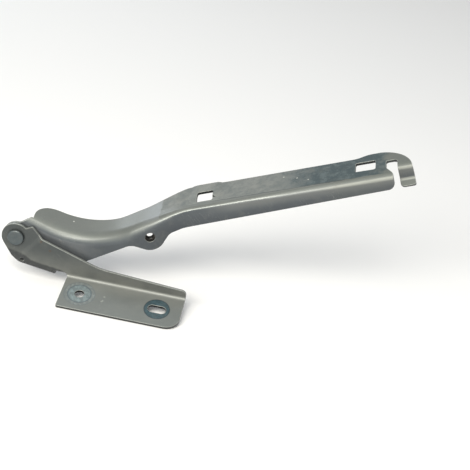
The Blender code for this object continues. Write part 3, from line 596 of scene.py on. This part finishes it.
# %% Arm paint: overspray and bare primer
OVERSPRAY_DARK = [0.124, 0.139, 0.134, 1.0]
OVERSPRAY_PALE = [0.205, 0.213, 0.198, 1.0]
SEAT_TONE = [0.215, 0.228, 0.212, 1.0]
BORDER_TONE = [0.035, 0.037, 0.035, 1.0]
blotch = wires.noise(place, 75.0, 6.0, 0.72)
stray = wires.times(wires.minus(blotch, 0.5), 1.6)
bare = wires.step(wires.plus(wires.step(station, 25 * MM, 150 * MM), stray), 0.30, 0.85)
skin = wires.blend(wires.step(blotch, 0.34, 0.66), OVERSPRAY_DARK, OVERSPRAY_PALE)
skin = wires.blend(bare, skin, finish.primer["Colour"])
seat = wires.plus(wires.reach("DISTANCE", place, rear_hole), wires.times(wobble, 8 * MM))
skin = wires.lay(skin, SEAT_TONE, wires.band(seat, 8.5 * MM, 15 * MM, 1.5 * MM), 0.25)
colour = wires.lay(wires.blend(covered, coated, skin), BORDER_TONE, border, 0.8)
count_nodes("The arm's paint", wires.tree)

# %% [markdown]
# The crest is polished by hands along the middle of the arm, and towards its front it is painted
# paler as a highlight. The gooseneck's crest and the whole front third are duller and have lost their
# clear coat.

# %% Arm paint: gloss and a painted highlight
FRONT_HIGHLIGHT_TONE = [0.260, 0.268, 0.240, 1.0]
crest = wires.band(finish.lean, 0.25, 0.95, 0.12)
polished = wires.times(crest, wires.band(station, -42 * MM, 75 * MM, 18 * MM))
front = wires.step(station, 100 * MM, 150 * MM)
dull = wires.plus(wires.times(wires.band(station, -118 * MM, -58 * MM, 14 * MM), crest), front)
rough = wires.plus(finish.rough, wires.times(covered, 0.12))
rough = wires.plus(wires.minus(rough, wires.times(polished, 0.17)), wires.times(dull, 0.09))
# Painted highlight: the crest is paler towards the front.
colour = wires.lay(colour, FRONT_HIGHLIGHT_TONE, crest, front, 0.6)
coat = wires.minus(COAT_WEIGHT, wires.times(covered, 0.30))
finish.set(Coat_Weight=wires.minus(coat, wires.times(dull, 0.3), clamp=True))
count_nodes("The arm's paint", wires.tree)

# %% Arm paint: pale specks
SPECK_TONE = [0.50, 0.51, 0.46, 1.0]
SPECKS = ((-0.0628, 0.0494, 0.0557), (0.1518, 0.0662, 0.1435), (0.1632, 0.0600, 0.1470),
          (0.1385, 0.0720, 0.1390))
for speck in SPECKS:
    colour = finish.spot(colour, speck, 0.9 * MM, SPECK_TONE)
arm_paint = finish.close(colour, rough)

# %% [markdown]
# ## The bracket's paint
# Two bolts held the bracket while it was sprayed. Round the hole their seat left a blue-grey patch
# with a fine double rim, and round the slot a darker one. A pale tone lies in the fold's corner and
# thins out away from it: partly settled dust, partly painted light that lifts the shade there. The
# web is painted darker towards the pivot as shade. A few pale scuffs lie between hole and slot, and
# two small rust stains on the web.

# %% Bracket paint: dust and painted light in the fold, painted shade by the pivot
FOLD_LINE = (0.0, 20.0 * MM, 8.9 * MM)
FOLD_DUST_AND_LIGHT = [0.195, 0.200, 0.181, 1.0]
PIVOT_SHADE_TONE = [0.050, 0.058, 0.059, 1.0]
finish = Finish("bracket_paint", [0.138, 0.151, 0.142, 1.0], roughness=0.46, metallic=0.45,
                wear=(0.35, 0.35, 0.16), thin_and_shaded=[0.088, 0.096, 0.092, 1.0])
wires, place = finish.wires, finish.place
from_fold = wires.vector("MULTIPLY", wires.vector("SUBTRACT", place, FOLD_LINE), (0.0, 1.0, 1.0))
corner = wires.step(wires.reach("LENGTH", from_fold), 27 * MM, 1 * MM)
# Dust and painted light: a pale tone that thins out away from the fold.
fold_dust_and_light = wires.times(corner, wires.plus(wires.noise(place, 60.0, 4.0, 0.6), 0.2))
from_left = wires.part(place, 0)
# Painted shade: the web darkens towards the pivot.
pivot_shade = wires.times(wires.step(from_left, -36 * MM, -66 * MM), finish.lean)
colour = wires.lay(finish.colour, PIVOT_SHADE_TONE, pivot_shade, 0.7)
colour = wires.lay(colour, FOLD_DUST_AND_LIGHT, fold_dust_and_light, 0.9)
rough = wires.plus(finish.rough, wires.times(fold_dust_and_light, 0.08))
count_nodes("The bracket's paint", wires.tree)

# %% Bracket paint: rings of the two bolts
RINGS = (
    (bolt_hole, 15.6 * MM, [0.132, 0.150, 0.147], 0.9 * MM, [0.088, 0.110, 0.116, 1.0], 0.35),
    (bolt_hole, 11.8 * MM, [0.132, 0.168, 0.173], 1.0 * MM, [0.062, 0.086, 0.098, 1.0], 0.65),
    (bolt_slot, 12.8 * MM, [0.014, 0.044, 0.056], 0.8 * MM, [0.010, 0.022, 0.030, 1.0], 0.7),
)
for centre, radius, patch_tone, rim_width, rim_tone, rim_share in RINGS:
    ring = wires.group(bolt_ring, {"Place": place, "Centre": centre, "Axis": flange_up,
                                   "Radius": radius, "Rim": rim_width})
    mottle = wires.step(wires.noise(place, 300.0, 4.0, 0.65), 0.42, 0.66)
    pale_tone = [value * 1.5 + 0.006 for value in patch_tone]
    patch = wires.blend(mottle, patch_tone + [1.0], pale_tone + [1.0])
    colour = wires.lay(colour, patch, ring["Patch"], 0.9)
    colour = wires.lay(colour, rim_tone, ring["Rim"], rim_share)
    rough = wires.plus(rough, wires.times(ring["Patch"], 0.12))
print("Radius of the rings in mm:", in_mm(ring[1] for ring in RINGS))

# %% Bracket paint: scuffs and rust stains
SCUFFS = ((-0.0145, 0.0022, 0.0038), (-0.0160, -0.0043, 0.0019), (-0.0150, -0.0030, 0.0022))
SCUFF_TONE = [0.30, 0.31, 0.28, 1.0]
STAINS = ((-0.0879, 0.0200, 0.0415), (-0.0780, 0.0200, 0.0333))
RUST_TONE = [0.085, 0.052, 0.030, 1.0]
for scuff in SCUFFS:
    colour = finish.spot(colour, scuff, 1.1 * MM, SCUFF_TONE, 0.6)
for stain in STAINS:
    colour = finish.spot(colour, stain, 1.6 * MM, RUST_TONE, 0.45)
count_nodes("The bracket's paint", wires.tree)

# %% [markdown]
# A dark band runs along the lower edge, where the stop flange is folded back. Its upper edge
# follows that flange's bend, which drops slowly away from the pin, and climbs at the outer end. The
# band is matt, so it also takes away the metallic look and the clear coat.

# %% Bracket paint: a dark band along the stop
BEND_HEIGHT = 12 * MM
BEND_DROP = 0.144
above = wires.plus(wires.minus(wires.part(place, 2), BEND_HEIGHT),
                   wires.times(wires.minus(from_left, hinge_pin.x), BEND_DROP))
limit = wires.plus(wires.times(wires.step(from_left, -96 * MM, -104 * MM), 3.5 * MM), 8.8 * MM)
limit = wires.plus(limit, wires.times(wires.noise(place, 210.0, 3.0, 0.6), 2.5 * MM))
stop_band = wires.times(wires.step(wires.minus(above, limit), 0.2 * MM, -2.4 * MM),
                   wires.step(from_left, -60 * MM, -66 * MM))
colour = wires.lay(colour, DARK_TONE, stop_band, 0.92)
finish.set(Metallic=wires.times(finish.metallic, wires.minus(1.0, stop_band)),
           Coat_Weight=wires.minus(COAT_WEIGHT, wires.times(stop_band, 0.3)))
bracket_paint = finish.close(colour, rough)

# %% [markdown]
# ## Cut edges
# The cut edges of a pressing are rougher than its faces. Shears leave fine upright lines and paint
# is thin there. Their colour is painted with light and shade: pale where they face up (painted
# highlight), dark where they stand upright, look down or line the holes (painted shade). The rounded
# corners beside them are painted pale as a highlight.

# %% Edge paints
HOLE_WALL_SHADE = ((bolt_hole, 6.5 * MM), (bolt_slot, 12 * MM), (rear_hole, 11 * MM), (front_hole, 13 * MM),
              (ear_face, 9 * MM))
WALL_FADE = 1 * MM


def make_cut_paint():
    """Make the material of the cut edges, with the shear's fine lines and hole walls in painted shade.
    """
    # Up-facing cut edges take the pale colour as a painted highlight, upright ones the dark one as
    # painted shade.
    finish = Finish("cut_edge_paint", [0.240, 0.250, 0.232, 1.0], roughness=0.50, metallic=0.45,
                    wear=(0.3, 0.5, 0.3), cloudiness=0.3, thin_and_shaded=[0.070, 0.075, 0.074, 1.0])
    wires = finish.wires
    lines = wires.noise(finish.place, 1.0, 2.0, 0.6, (1500.0, 260.0, 260.0))
    colour = wires.lay(finish.colour, PRIMER, lines, 0.4)
    # Painted shade: the walls of the holes are darkened.
    for centre, reach in HOLE_WALL_SHADE:
        gap = wires.reach("DISTANCE", finish.place, centre)
        colour = wires.lay(colour, DARK_TONE, wires.step(gap, reach + WALL_FADE, reach - WALL_FADE))
    rough = wires.plus(finish.rough, wires.times(lines, 0.2))
    return finish.close(colour, rough, bump=0.5)


def make_highlight_corner_paint():
    """Make the material of the rounded corners beside the cut edges, painted pale as a highlight."""
    # The pale colour of the corners is a painted highlight.
    finish = Finish("highlight_corner_paint", [0.240, 0.250, 0.230, 1.0], roughness=0.40, metallic=0.55,
                    wear=(0.5, 0.4, 0.1), cloudiness=0.3, thin_and_shaded=[0.155, 0.162, 0.155, 1.0])
    return finish.close(finish.colour, finish.rough, bump=0.3)


cut_paint = make_cut_paint()
highlight_corner_paint = make_highlight_corner_paint()

# %% [markdown]
# ## The two pressings
# The CAD sheets have the right shape but knife-sharp cut edges, and those never catch a highlight.
# A copy of each sheet is merged into one skin and its flat triangles are joined into larger faces.
# The two sides of the sheet are picked by growing a selection over smooth neighbours from the largest
# face, so that what is left over is the cut edge. Then a bevel rounds the edges, and the few new
# corners that stand a hair outside the CAD piece's box are brought back.

# %% Round the edges of both pressings
EDGE_ROUND = 0.40 * MM
SHARP = radians(40)
FACE_SLOT, CUT_SLOT, CORNER_SLOT = 0, 1, 2


def copy_node(node, name, paint):
    """Copy a CAD node's mesh into a new object, and merge its loose triangles."""
    piece = frame["nodes"][node].copy()
    piece.data = frame["nodes"][node].data.copy()
    piece.name = name
    piece.data.name = name
    piece.parent = None
    piece.matrix_world = Matrix.Identity(4)
    bpy.context.scene.collection.objects.link(piece)
    piece.data.materials.clear()
    for material in (paint, cut_paint, highlight_corner_paint):
        piece.data.materials.append(material)
    pick(piece)
    if piece.data.has_custom_normals:
        bpy.ops.mesh.customdata_custom_splitnormals_clear()
    mode("EDIT")
    bpy.ops.mesh.select_all(action="SELECT")
    bpy.ops.mesh.remove_doubles(threshold=0.01 * MM)
    bpy.ops.mesh.dissolve_limited(angle_limit=radians(0.6))
    mode("OBJECT")
    return piece


def mark_cut_edges(piece):
    """Give the cut-edge material to all faces that aren't on a side of the sheet."""
    for face in piece.data.polygons:
        face.material_index = CUT_SLOT
    for way in (-1, 1):
        turned = [face for face in piece.data.polygons if face.normal.y * way > 0.9]
        seed = max(turned, key=lambda face: face.area).index
        deselect_all(piece, "FACE")
        piece.data.polygons[seed].select = True
        mode("EDIT")
        bpy.ops.mesh.faces_select_linked_flat(sharpness=SHARP)
        piece.active_material_index = FACE_SLOT
        bpy.ops.object.material_slot_assign()
        mode("OBJECT")
    cut_faces = sum(face.material_index == CUT_SLOT for face in piece.data.polygons)
    print(piece.name, "has", cut_faces, "cut-edge faces of", len(piece.data.polygons))


def round_edges(piece):
    """Round the sharp edges, and give the rounded faces the corner's material."""
    bevel = piece.modifiers.new("edge_round", "BEVEL")
    bevel.width = EDGE_ROUND
    bevel.segments = 2
    bevel.limit_method = "ANGLE"
    bevel.angle_limit = SHARP
    bevel.use_clamp_overlap = False
    bevel.material = CORNER_SLOT
    bevel.miter_outer = "MITER_ARC"
    bpy.ops.object.modifier_apply(modifier=bevel.name)


def round_corner(piece, near, radius):
    """Round the one corner edge that lies nearest to a place."""
    deselect_all(piece, "EDGE")
    points = piece.data.vertices
    spread = [((points[edge.vertices[0]].co + points[edge.vertices[1]].co) / 2 - Vector(near)).length
              for edge in piece.data.edges]
    piece.data.edges[spread.index(min(spread))].select = True
    mode("EDIT")
    bpy.ops.mesh.bevel(offset=radius, segments=6, affect="EDGES")
    bpy.ops.mesh.select_mode(type="FACE")
    mode("OBJECT")
    print("Rounded a corner of", piece.name, "whose edge was", round(min(spread) / MM, 2),
          "mm from the place")


def keep_in_box(piece, node):
    """Bring back the few bevel corners that stand a hair outside the CAD piece's box."""
    low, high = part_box(node)
    moved = 0
    for vertex in piece.data.vertices:
        kept = Vector(min(max(value, low[axis]), high[axis]) for axis, value in enumerate(vertex.co))
        moved += (kept - vertex.co).length > 0.001 * MM
        vertex.co = kept
    print("Brought back", moved, "corners of", piece.name)


def even_normals(piece):
    """Let large flat faces keep their own normals beside the rounded edges."""
    even = piece.modifiers.new("even_normals", "WEIGHTED_NORMAL")
    even.keep_sharp = True
    bpy.ops.object.modifier_apply(modifier=even.name)


bracket_pressing = copy_node("body_bracket", "bracket_pressing", bracket_paint)
mark_cut_edges(bracket_pressing)
round_corner(bracket_pressing, (-0.0590, -0.0200, -0.0042), 2 * MM)
round_edges(bracket_pressing)
keep_in_box(bracket_pressing, "body_bracket")
finish_mesh(bracket_pressing, "bracket", "body_bracket", smooth=50)
even_normals(bracket_pressing)

arm_pressing = copy_node("bonnet_arm", "arm_pressing", arm_paint)
mark_cut_edges(arm_pressing)
round_corner(arm_pressing, (0.2527, 0.0521, 0.1614), 4 * MM)
round_corner(arm_pressing, (0.2666, 0.0521, 0.1672), 2 * MM)
round_edges(arm_pressing)
keep_in_box(arm_pressing, "bonnet_arm")
finish_mesh(arm_pressing, "arm", "bonnet_arm", smooth=50)
even_normals(arm_pressing)

# %% [markdown]
# ## Turned pieces
# The rivet, the bush and the washer are round about the pivot's pin. Each is drawn as a circle that
# is extruded ring after ring, scaled and moved along the pin, which is how such a shape is built by
# hand. Their ends and the outer sizes of the bush and the washer are read from the CAD nodes, and the
# other lengths are given below, so the new pieces fill about the same space.

# %% Turning helper
ROUND_SIDES = 64
PIN_MIDDLE = Vector((hinge_pin.x, 0, hinge_pin.z))


def turn(name, rings, materials, closed=False, centre=PIN_MIDDLE, swing=0.0):
    """Extrude a circle through (radius, y) rings about Y, then put it in place."""
    radius, y = rings[0]
    bpy.ops.object.select_all(action="DESELECT")
    bpy.ops.mesh.primitive_circle_add(vertices=ROUND_SIDES, radius=radius, rotation=(pi / 2, 0, 0),
                                      location=(0, y, 0))
    piece = bpy.context.object
    piece.name = name
    piece.data.name = name
    settle()
    mode("EDIT")
    bpy.ops.mesh.select_mode(type="VERT")
    bpy.ops.mesh.select_all(action="SELECT")
    if not closed:
        bpy.ops.mesh.edge_face_add()
        bpy.ops.mesh.select_all(action="SELECT")
    for next_radius, next_y in rings[1:]:
        bpy.ops.mesh.extrude_region_move(TRANSFORM_OT_translate={"value": (0, next_y - y, 0)})
        grow = next_radius / radius
        bpy.ops.transform.resize(value=(grow, 1, grow), center_override=(0, next_y, 0))
        radius, y = next_radius, next_y
    bpy.ops.mesh.select_all(action="SELECT")
    bpy.ops.mesh.remove_doubles(threshold=0.002 * MM)
    bpy.ops.mesh.normals_make_consistent(inside=False)
    mode("OBJECT")
    for material in materials:
        piece.data.materials.append(material)
    piece.location = centre
    piece.rotation_euler = (0, 0, swing)
    settle()
    return piece


def quarter_round(radius, y, size, steps, start):
    """Return (radius, y) rings over a quarter circle about a middle, from a start angle."""
    angles = [start + pi / 2 * step / steps for step in range(steps + 1)]
    return [(radius + size * cos(angle), y + size * sin(angle)) for angle in angles]


def circles_round_pin(finish, scale, roughness):
    """Return the distance from the pin, and the fine circles that a turning tool leaves round it."""
    wires = finish.wires
    away = wires.vector("SUBTRACT", finish.place, hinge_pin)
    radius = wires.reach("LENGTH", wires.vector("MULTIPLY", away, (1.0, 0.0, 1.0)))
    return radius, wires.noise(wires.node("CombineXYZ", {0: radius}).outputs[0], scale, 2.0, roughness)


# %% [markdown]
# ## The rivet
# The rivet's low front head is cold-formed, with a softly rounded rim and a flat, slightly dished
# middle. Behind the arm its other end was spun into a closing head, which keeps the tool's fine
# rings. It was sprayed together with the bracket, so it wears the same blue-grey.

# %% Rivet
HEAD_HEIGHT = 3.0 * MM
HEAD_RADIUS = 8.6 * MM
HEAD_RIM = 1.5 * MM
SHANK_RADIUS = 5.0 * MM
CLOSING_RADIUS = 8.0 * MM
CLOSING_RIM = 2.7 * MM
GAP = 0.3 * MM
RIVET_FOOT_TONE = [0.020, 0.022, 0.022, 1.0]
pad_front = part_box("pivot_rivet")[0][1] + HEAD_HEIGHT
washer_low, washer_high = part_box("pivot_washer")
bush_low, bush_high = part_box("pivot_bush")
rivet_low, rivet_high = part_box("pivot_rivet")
rivet_front, rivet_back = rivet_low[1], rivet_high[1]
closing_face = washer_high[1] + GAP

rivet_rings = [(1.5 * MM, rivet_front + 0.30 * MM), (4.6 * MM, rivet_front + 0.22 * MM),
               (5.8 * MM, rivet_front + 0.04 * MM)]
rivet_rings += quarter_round(HEAD_RADIUS - HEAD_RIM, rivet_front + HEAD_RIM, HEAD_RIM, 6, -pi / 2)
rivet_rings += [(HEAD_RADIUS, pad_front - 0.15 * MM), (HEAD_RADIUS - 0.15 * MM, pad_front),
                (SHANK_RADIUS + 0.3 * MM, pad_front), (SHANK_RADIUS, pad_front + 0.3 * MM),
                (SHANK_RADIUS, closing_face - 0.1 * MM), (CLOSING_RADIUS - 0.4 * MM, closing_face),
                (CLOSING_RADIUS, closing_face + 0.25 * MM)]
closing = quarter_round(CLOSING_RADIUS - CLOSING_RIM, rivet_back - CLOSING_RIM, CLOSING_RIM, 7, 0)
rivet_rings += closing[1:] + [(3.2 * MM, rivet_back), (2.6 * MM, rivet_back - 0.25 * MM),
                              (1.4 * MM, rivet_back - 0.35 * MM)]


def make_rivet_paint():
    """Make the rivet's material, with the closing tool's rings and darker patches round the head's foot.
    """
    finish = Finish("rivet_finish", [0.080, 0.096, 0.102, 1.0], roughness=0.42, metallic=0.60,
                    wear=(0.3, 0.4, 0.25), cloudiness=0.3)
    wires = finish.wires
    radius, rings = circles_round_pin(finish, 2600.0, 0.5)
    # The rivet is darker in patches round the foot of its head.
    foot = wires.band(radius, 8.0 * MM, 9.5 * MM, 0.35 * MM)
    foot_patches = wires.times(foot, wires.step(wires.noise(finish.place, 260.0, 3.0, 0.6), 0.35, 0.65))
    colour = wires.lay(finish.colour, PRIMER, rings, 0.35)
    colour = wires.lay(colour, RIVET_FOOT_TONE, foot_patches, 0.5)
    return finish.close(colour, finish.rough, bump=0.4)


rivet_piece = turn("rivet", rivet_rings, (make_rivet_paint(),))
finish_mesh(rivet_piece, "bracket", "pivot_rivet", smooth=40)

# %% [markdown]
# ## The bush and the washer
# Both are turned from plated steel and stay bare where they rub: only their rims show between the
# arm and the bracket. Their edges are broken by small chamfers, and their faces keep fine circles
# from turning and the grease that darkened round the pin.

# %% Bush and washer
CHAMFER = 0.25 * MM
BORE_RADIUS = 5.3 * MM
SLEEVE_RADIUS = 6.8 * MM
FLANGE_THICKNESS = 1.5 * MM
DARK_CIRCLES = [0.12, 0.12, 0.11, 1.0]
GREASE = [0.035, 0.032, 0.027, 1.0]
bush_outer = (bush_high[0] - bush_low[0]) / 2
flange_back = bush_low[1] + FLANGE_THICKNESS
washer_outer = (washer_high[0] - washer_low[0]) / 2


def bored(low, high, outer, back):
    """Return the rings of a bored piece from front to back, with the given back of its rim."""
    bore = [(BORE_RADIUS + CHAMFER, high), (BORE_RADIUS, high - CHAMFER), (BORE_RADIUS, low + CHAMFER),
            (BORE_RADIUS + CHAMFER, low)]
    return [bore[-1], (outer - CHAMFER, low), (outer, low + CHAMFER)] + back + bore


bush_rings = bored(bush_low[1], bush_high[1], bush_outer, [
    (bush_outer, flange_back - CHAMFER), (bush_outer - CHAMFER, flange_back),
    (SLEEVE_RADIUS + 0.1 * MM, flange_back), (SLEEVE_RADIUS, flange_back + 0.1 * MM),
    (SLEEVE_RADIUS, bush_high[1] - CHAMFER), (SLEEVE_RADIUS - CHAMFER, bush_high[1])])
washer_rings = bored(washer_low[1], washer_high[1], washer_outer, [
    (washer_outer, washer_high[1] - 2 * CHAMFER), (washer_outer - 2 * CHAMFER, washer_high[1])])


def make_turned_steel():
    """Make the plated steel of the bush and the washer, with turning rings and old grease."""
    finish = Finish("turned_steel", [0.27, 0.27, 0.25, 1.0], roughness=0.34, metallic=0.85,
                    wear=(0.6, 0.2, 0.3), cloudiness=0.3)
    wires = finish.wires
    radius, rings = circles_round_pin(finish, 5200.0, 0.6)
    grease = wires.step(wires.plus(wires.noise(finish.place, 190.0, 4.0, 0.65),
                                   wires.step(radius, 11.5 * MM, 7.0 * MM)), 0.55, 1.1)
    colour = wires.lay(finish.colour, DARK_CIRCLES, rings, 0.4)
    colour = wires.lay(colour, GREASE, grease)
    rough = wires.plus(finish.rough, wires.times(rings, 0.18))
    return finish.close(colour, rough, bump=0.5)


turned_steel = make_turned_steel()
bush_piece = turn("flanged_bush", bush_rings, (turned_steel,), closed=True)
finish_mesh(bush_piece, "bracket", "pivot_bush", smooth=30)
washer_piece = turn("closing_washer", washer_rings, (turned_steel,), closed=True)
finish_mesh(washer_piece, "bracket", "pivot_washer", smooth=30)

# %% [markdown]
# ## The weld nut
# A hexagonal nut is welded behind the ear and takes the stay's ball stud. Bar steel is turned before
# it is cut off, so a nut's corners end in arcs where a cone has taken them down, and its bore has a
# thread. Both are cut here with turned tools: a six-sided prism keeps only what lies inside a disc
# with conical rims, and a grooved rod is taken out of it.

# %% Weld nut
ear_axis = Vector(mounts["stay_face"]["axis"])
nut_low, nut_high = (Vector(corner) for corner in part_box("ear_weld_nut"))
nut_centre = (nut_low + nut_high) / 2
NUT_CORNER = 6.5 * MM / cos(pi / 6)
NUT_HALF = 3.25 * MM
THREAD_CREST = 3.4 * MM
THREAD_ROOT = 3.95 * MM
THREAD_PITCH = 1.25 * MM
CONE_FACE = 6.0 * MM
CONE_OUTER = NUT_CORNER + 0.2 * MM
CONE_DROP = 0.7 * MM
HEAT_TINT = [0.060, 0.048, 0.042, 1.0]
BORE_SHADE = [0.012, 0.012, 0.012, 1.0]
ear_swing = asin(ear_axis.x)
ear_side = Vector((cos(ear_swing), sin(ear_swing), 0))


def make_nut_steel():
    """Make the nut's dip-coated steel, with the weld's heat colours and a bore painted dark as shade."""
    finish = Finish("welded_nut_steel", [0.085, 0.092, 0.094, 1.0], roughness=0.50, metallic=0.60,
                    wear=(0.4, 0.4, 0.4), cloudiness=0.5)
    wires = finish.wires
    away = wires.vector("SUBTRACT", finish.place, nut_centre)
    depth = wires.reach("DOT_PRODUCT", away, -ear_axis)
    radius = wires.reach("LENGTH", wires.vector("CROSS_PRODUCT", away, ear_axis))
    cloud = wires.times(wires.noise(finish.place, 380.0, 3.0, 0.6), 2.2 * MM)
    heat = wires.step(wires.plus(depth, cloud), 0.8 * MM, -1.6 * MM)
    colour = wires.lay(finish.colour, HEAT_TINT, heat, 0.8)
    # Painted shade: the bore is darkened.
    colour = wires.lay(colour, BORE_SHADE, wires.step(radius, 4.4 * MM, 4.0 * MM))
    return finish.close(colour, finish.rough, bump=0.6)


bpy.ops.object.select_all(action="DESELECT")
nut_frame = Matrix((ear_side.cross(-ear_axis), ear_side, -ear_axis)).transposed()
bpy.ops.mesh.primitive_cylinder_add(vertices=6, radius=NUT_CORNER, depth=2 * NUT_HALF,
                                    location=nut_centre, rotation=nut_frame.to_euler())
nut_piece = bpy.context.object
nut_piece.name = "weld_nut"
nut_piece.data.name = "weld_nut"
nut_piece.data.materials.append(make_nut_steel())
settle()
cone_rings = [(CONE_FACE, -NUT_HALF - 0.1 * MM), (CONE_OUTER, -NUT_HALF + CONE_DROP),
              (CONE_OUTER, NUT_HALF - CONE_DROP), (CONE_FACE, NUT_HALF + 0.1 * MM)]
thread_rings = [(THREAD_ROOT + 0.3 * MM, -NUT_HALF - 0.4 * MM), (THREAD_CREST, -NUT_HALF + 0.5 * MM)]
while thread_rings[-1][1] + THREAD_PITCH < NUT_HALF:
    start = thread_rings[-1][1]
    thread_rings += [(THREAD_ROOT, start + THREAD_PITCH / 2), (THREAD_CREST, start + THREAD_PITCH)]
thread_rings += [(THREAD_ROOT + 0.3 * MM, NUT_HALF + 0.4 * MM)]
for tool_name, rings, operation in (("cone_tool", cone_rings, "INTERSECT"),
                                    ("thread_tool", thread_rings, "DIFFERENCE")):
    tool = turn(tool_name, rings, (), centre=nut_centre, swing=ear_swing)
    pick(nut_piece)
    cut = nut_piece.modifiers.new(tool_name, "BOOLEAN")
    cut.object = tool
    cut.operation = operation
    cut.solver = "EXACT"
    bpy.ops.object.modifier_apply(modifier=cut.name)
    bpy.data.objects.remove(tool)
finish_mesh(nut_piece, "arm", "ear_weld_nut", smooth=25)

# %% [markdown]
# ## Floor and light
# The part stands on a plain pale floor. The world is white to the camera and in reflections and
# dimmer as a light. Four soft lamps light the part: a warm key low on the left, which draws the
# crest's long highlight, a second one higher in front, a low one behind on the left, which gives the
# gooseneck its sheen, and a broad cool one overhead.

# %% Floor
FLOOR_DROP = 0.05 * MM
bpy.ops.mesh.primitive_plane_add(size=8, location=(0, 0, cad_box[0][2] - FLOOR_DROP))
floor = bpy.context.object
floor.name = "floor"
floor_paint = bpy.data.materials.new("floor_paint")
floor_paint.use_nodes = True
Wires(floor_paint.node_tree).put(floor_paint.node_tree.nodes["Principled BSDF"].inputs, {
    "Base Color": (0.90, 0.90, 0.90, 1), "Roughness": 0.9, "Specular IOR Level": 0.1})
floor.data.materials.append(floor_paint)
floor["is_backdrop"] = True
print("The floor lies", round(-floor.location.z / MM, 2), "mm below the origin")

# %% World
SKY_LIGHT = 0.41
world = bpy.data.worlds.new("studio")
bpy.context.scene.world = world
world.use_nodes = True
world.node_tree.nodes.clear()
sky = Wires(world.node_tree)
path = sky.node("LightPath").outputs
seen = sky.sum("MAXIMUM", path["Is Camera Ray"],
               sky.sum("MAXIMUM", path["Is Glossy Ray"], path["Is Transmission Ray"]))
dim, white = (sky.node("Background", {"Color": (1, 1, 1, 1), "Strength": strength}).outputs[0]
              for strength in (SKY_LIGHT, 1.0))
mixed = sky.node("MixShader", {0: seen, 1: dim, 2: white})
sky.node("OutputWorld", {0: mixed.outputs[0]})
count_nodes("The world", sky.tree)

# %% [markdown]
# Each lamp has its name, the direction and distance at which it hangs from the middle of the part,
# its width and depth, its power in watts and its colour. All of them face that middle.

# %% Lamps
MIDDLE = Vector((0.05, 0.04, 0.08))
LAMPS = (
    ("key", (-0.34, -0.76, 0.55), 1.7, (1.0, 0.42), 20.0, (1.0, 0.965, 0.88)),
    ("front", (-0.06, -0.62, 0.78), 1.7, (0.9, 0.50), 14.0, (1.0, 0.97, 0.90)),
    ("low_back", (-0.59, 0.745, 0.31), 1.6, (0.7, 0.30), 2.1, (0.86, 0.94, 1.0)),
    ("overhead", (0.0, 0.35, 1.6), 1.6378, (2.4, 2.2), 9.4, (0.93, 0.98, 1.0)),
)
for name, direction, distance, size, watts, tint in LAMPS:
    lamp = bpy.data.lights.new(name, "AREA")
    lamp.shape = "RECTANGLE"
    lamp.size, lamp.size_y = size
    lamp.energy = watts
    lamp.color = tint
    holder = bpy.data.objects.new(name, lamp)
    bpy.context.scene.collection.objects.link(holder)
    hang = Vector(direction).normalized() * distance
    holder.location = MIDDLE + hang
    holder.rotation_euler = hang.to_track_quat("Z", "Y").to_euler()
print("Lamps:", [lamp[0] for lamp in LAMPS])

# %% Print the sizes at the end
visual_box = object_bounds()
print("Visual box in mm:", [in_mm(corner) for corner in visual_box])
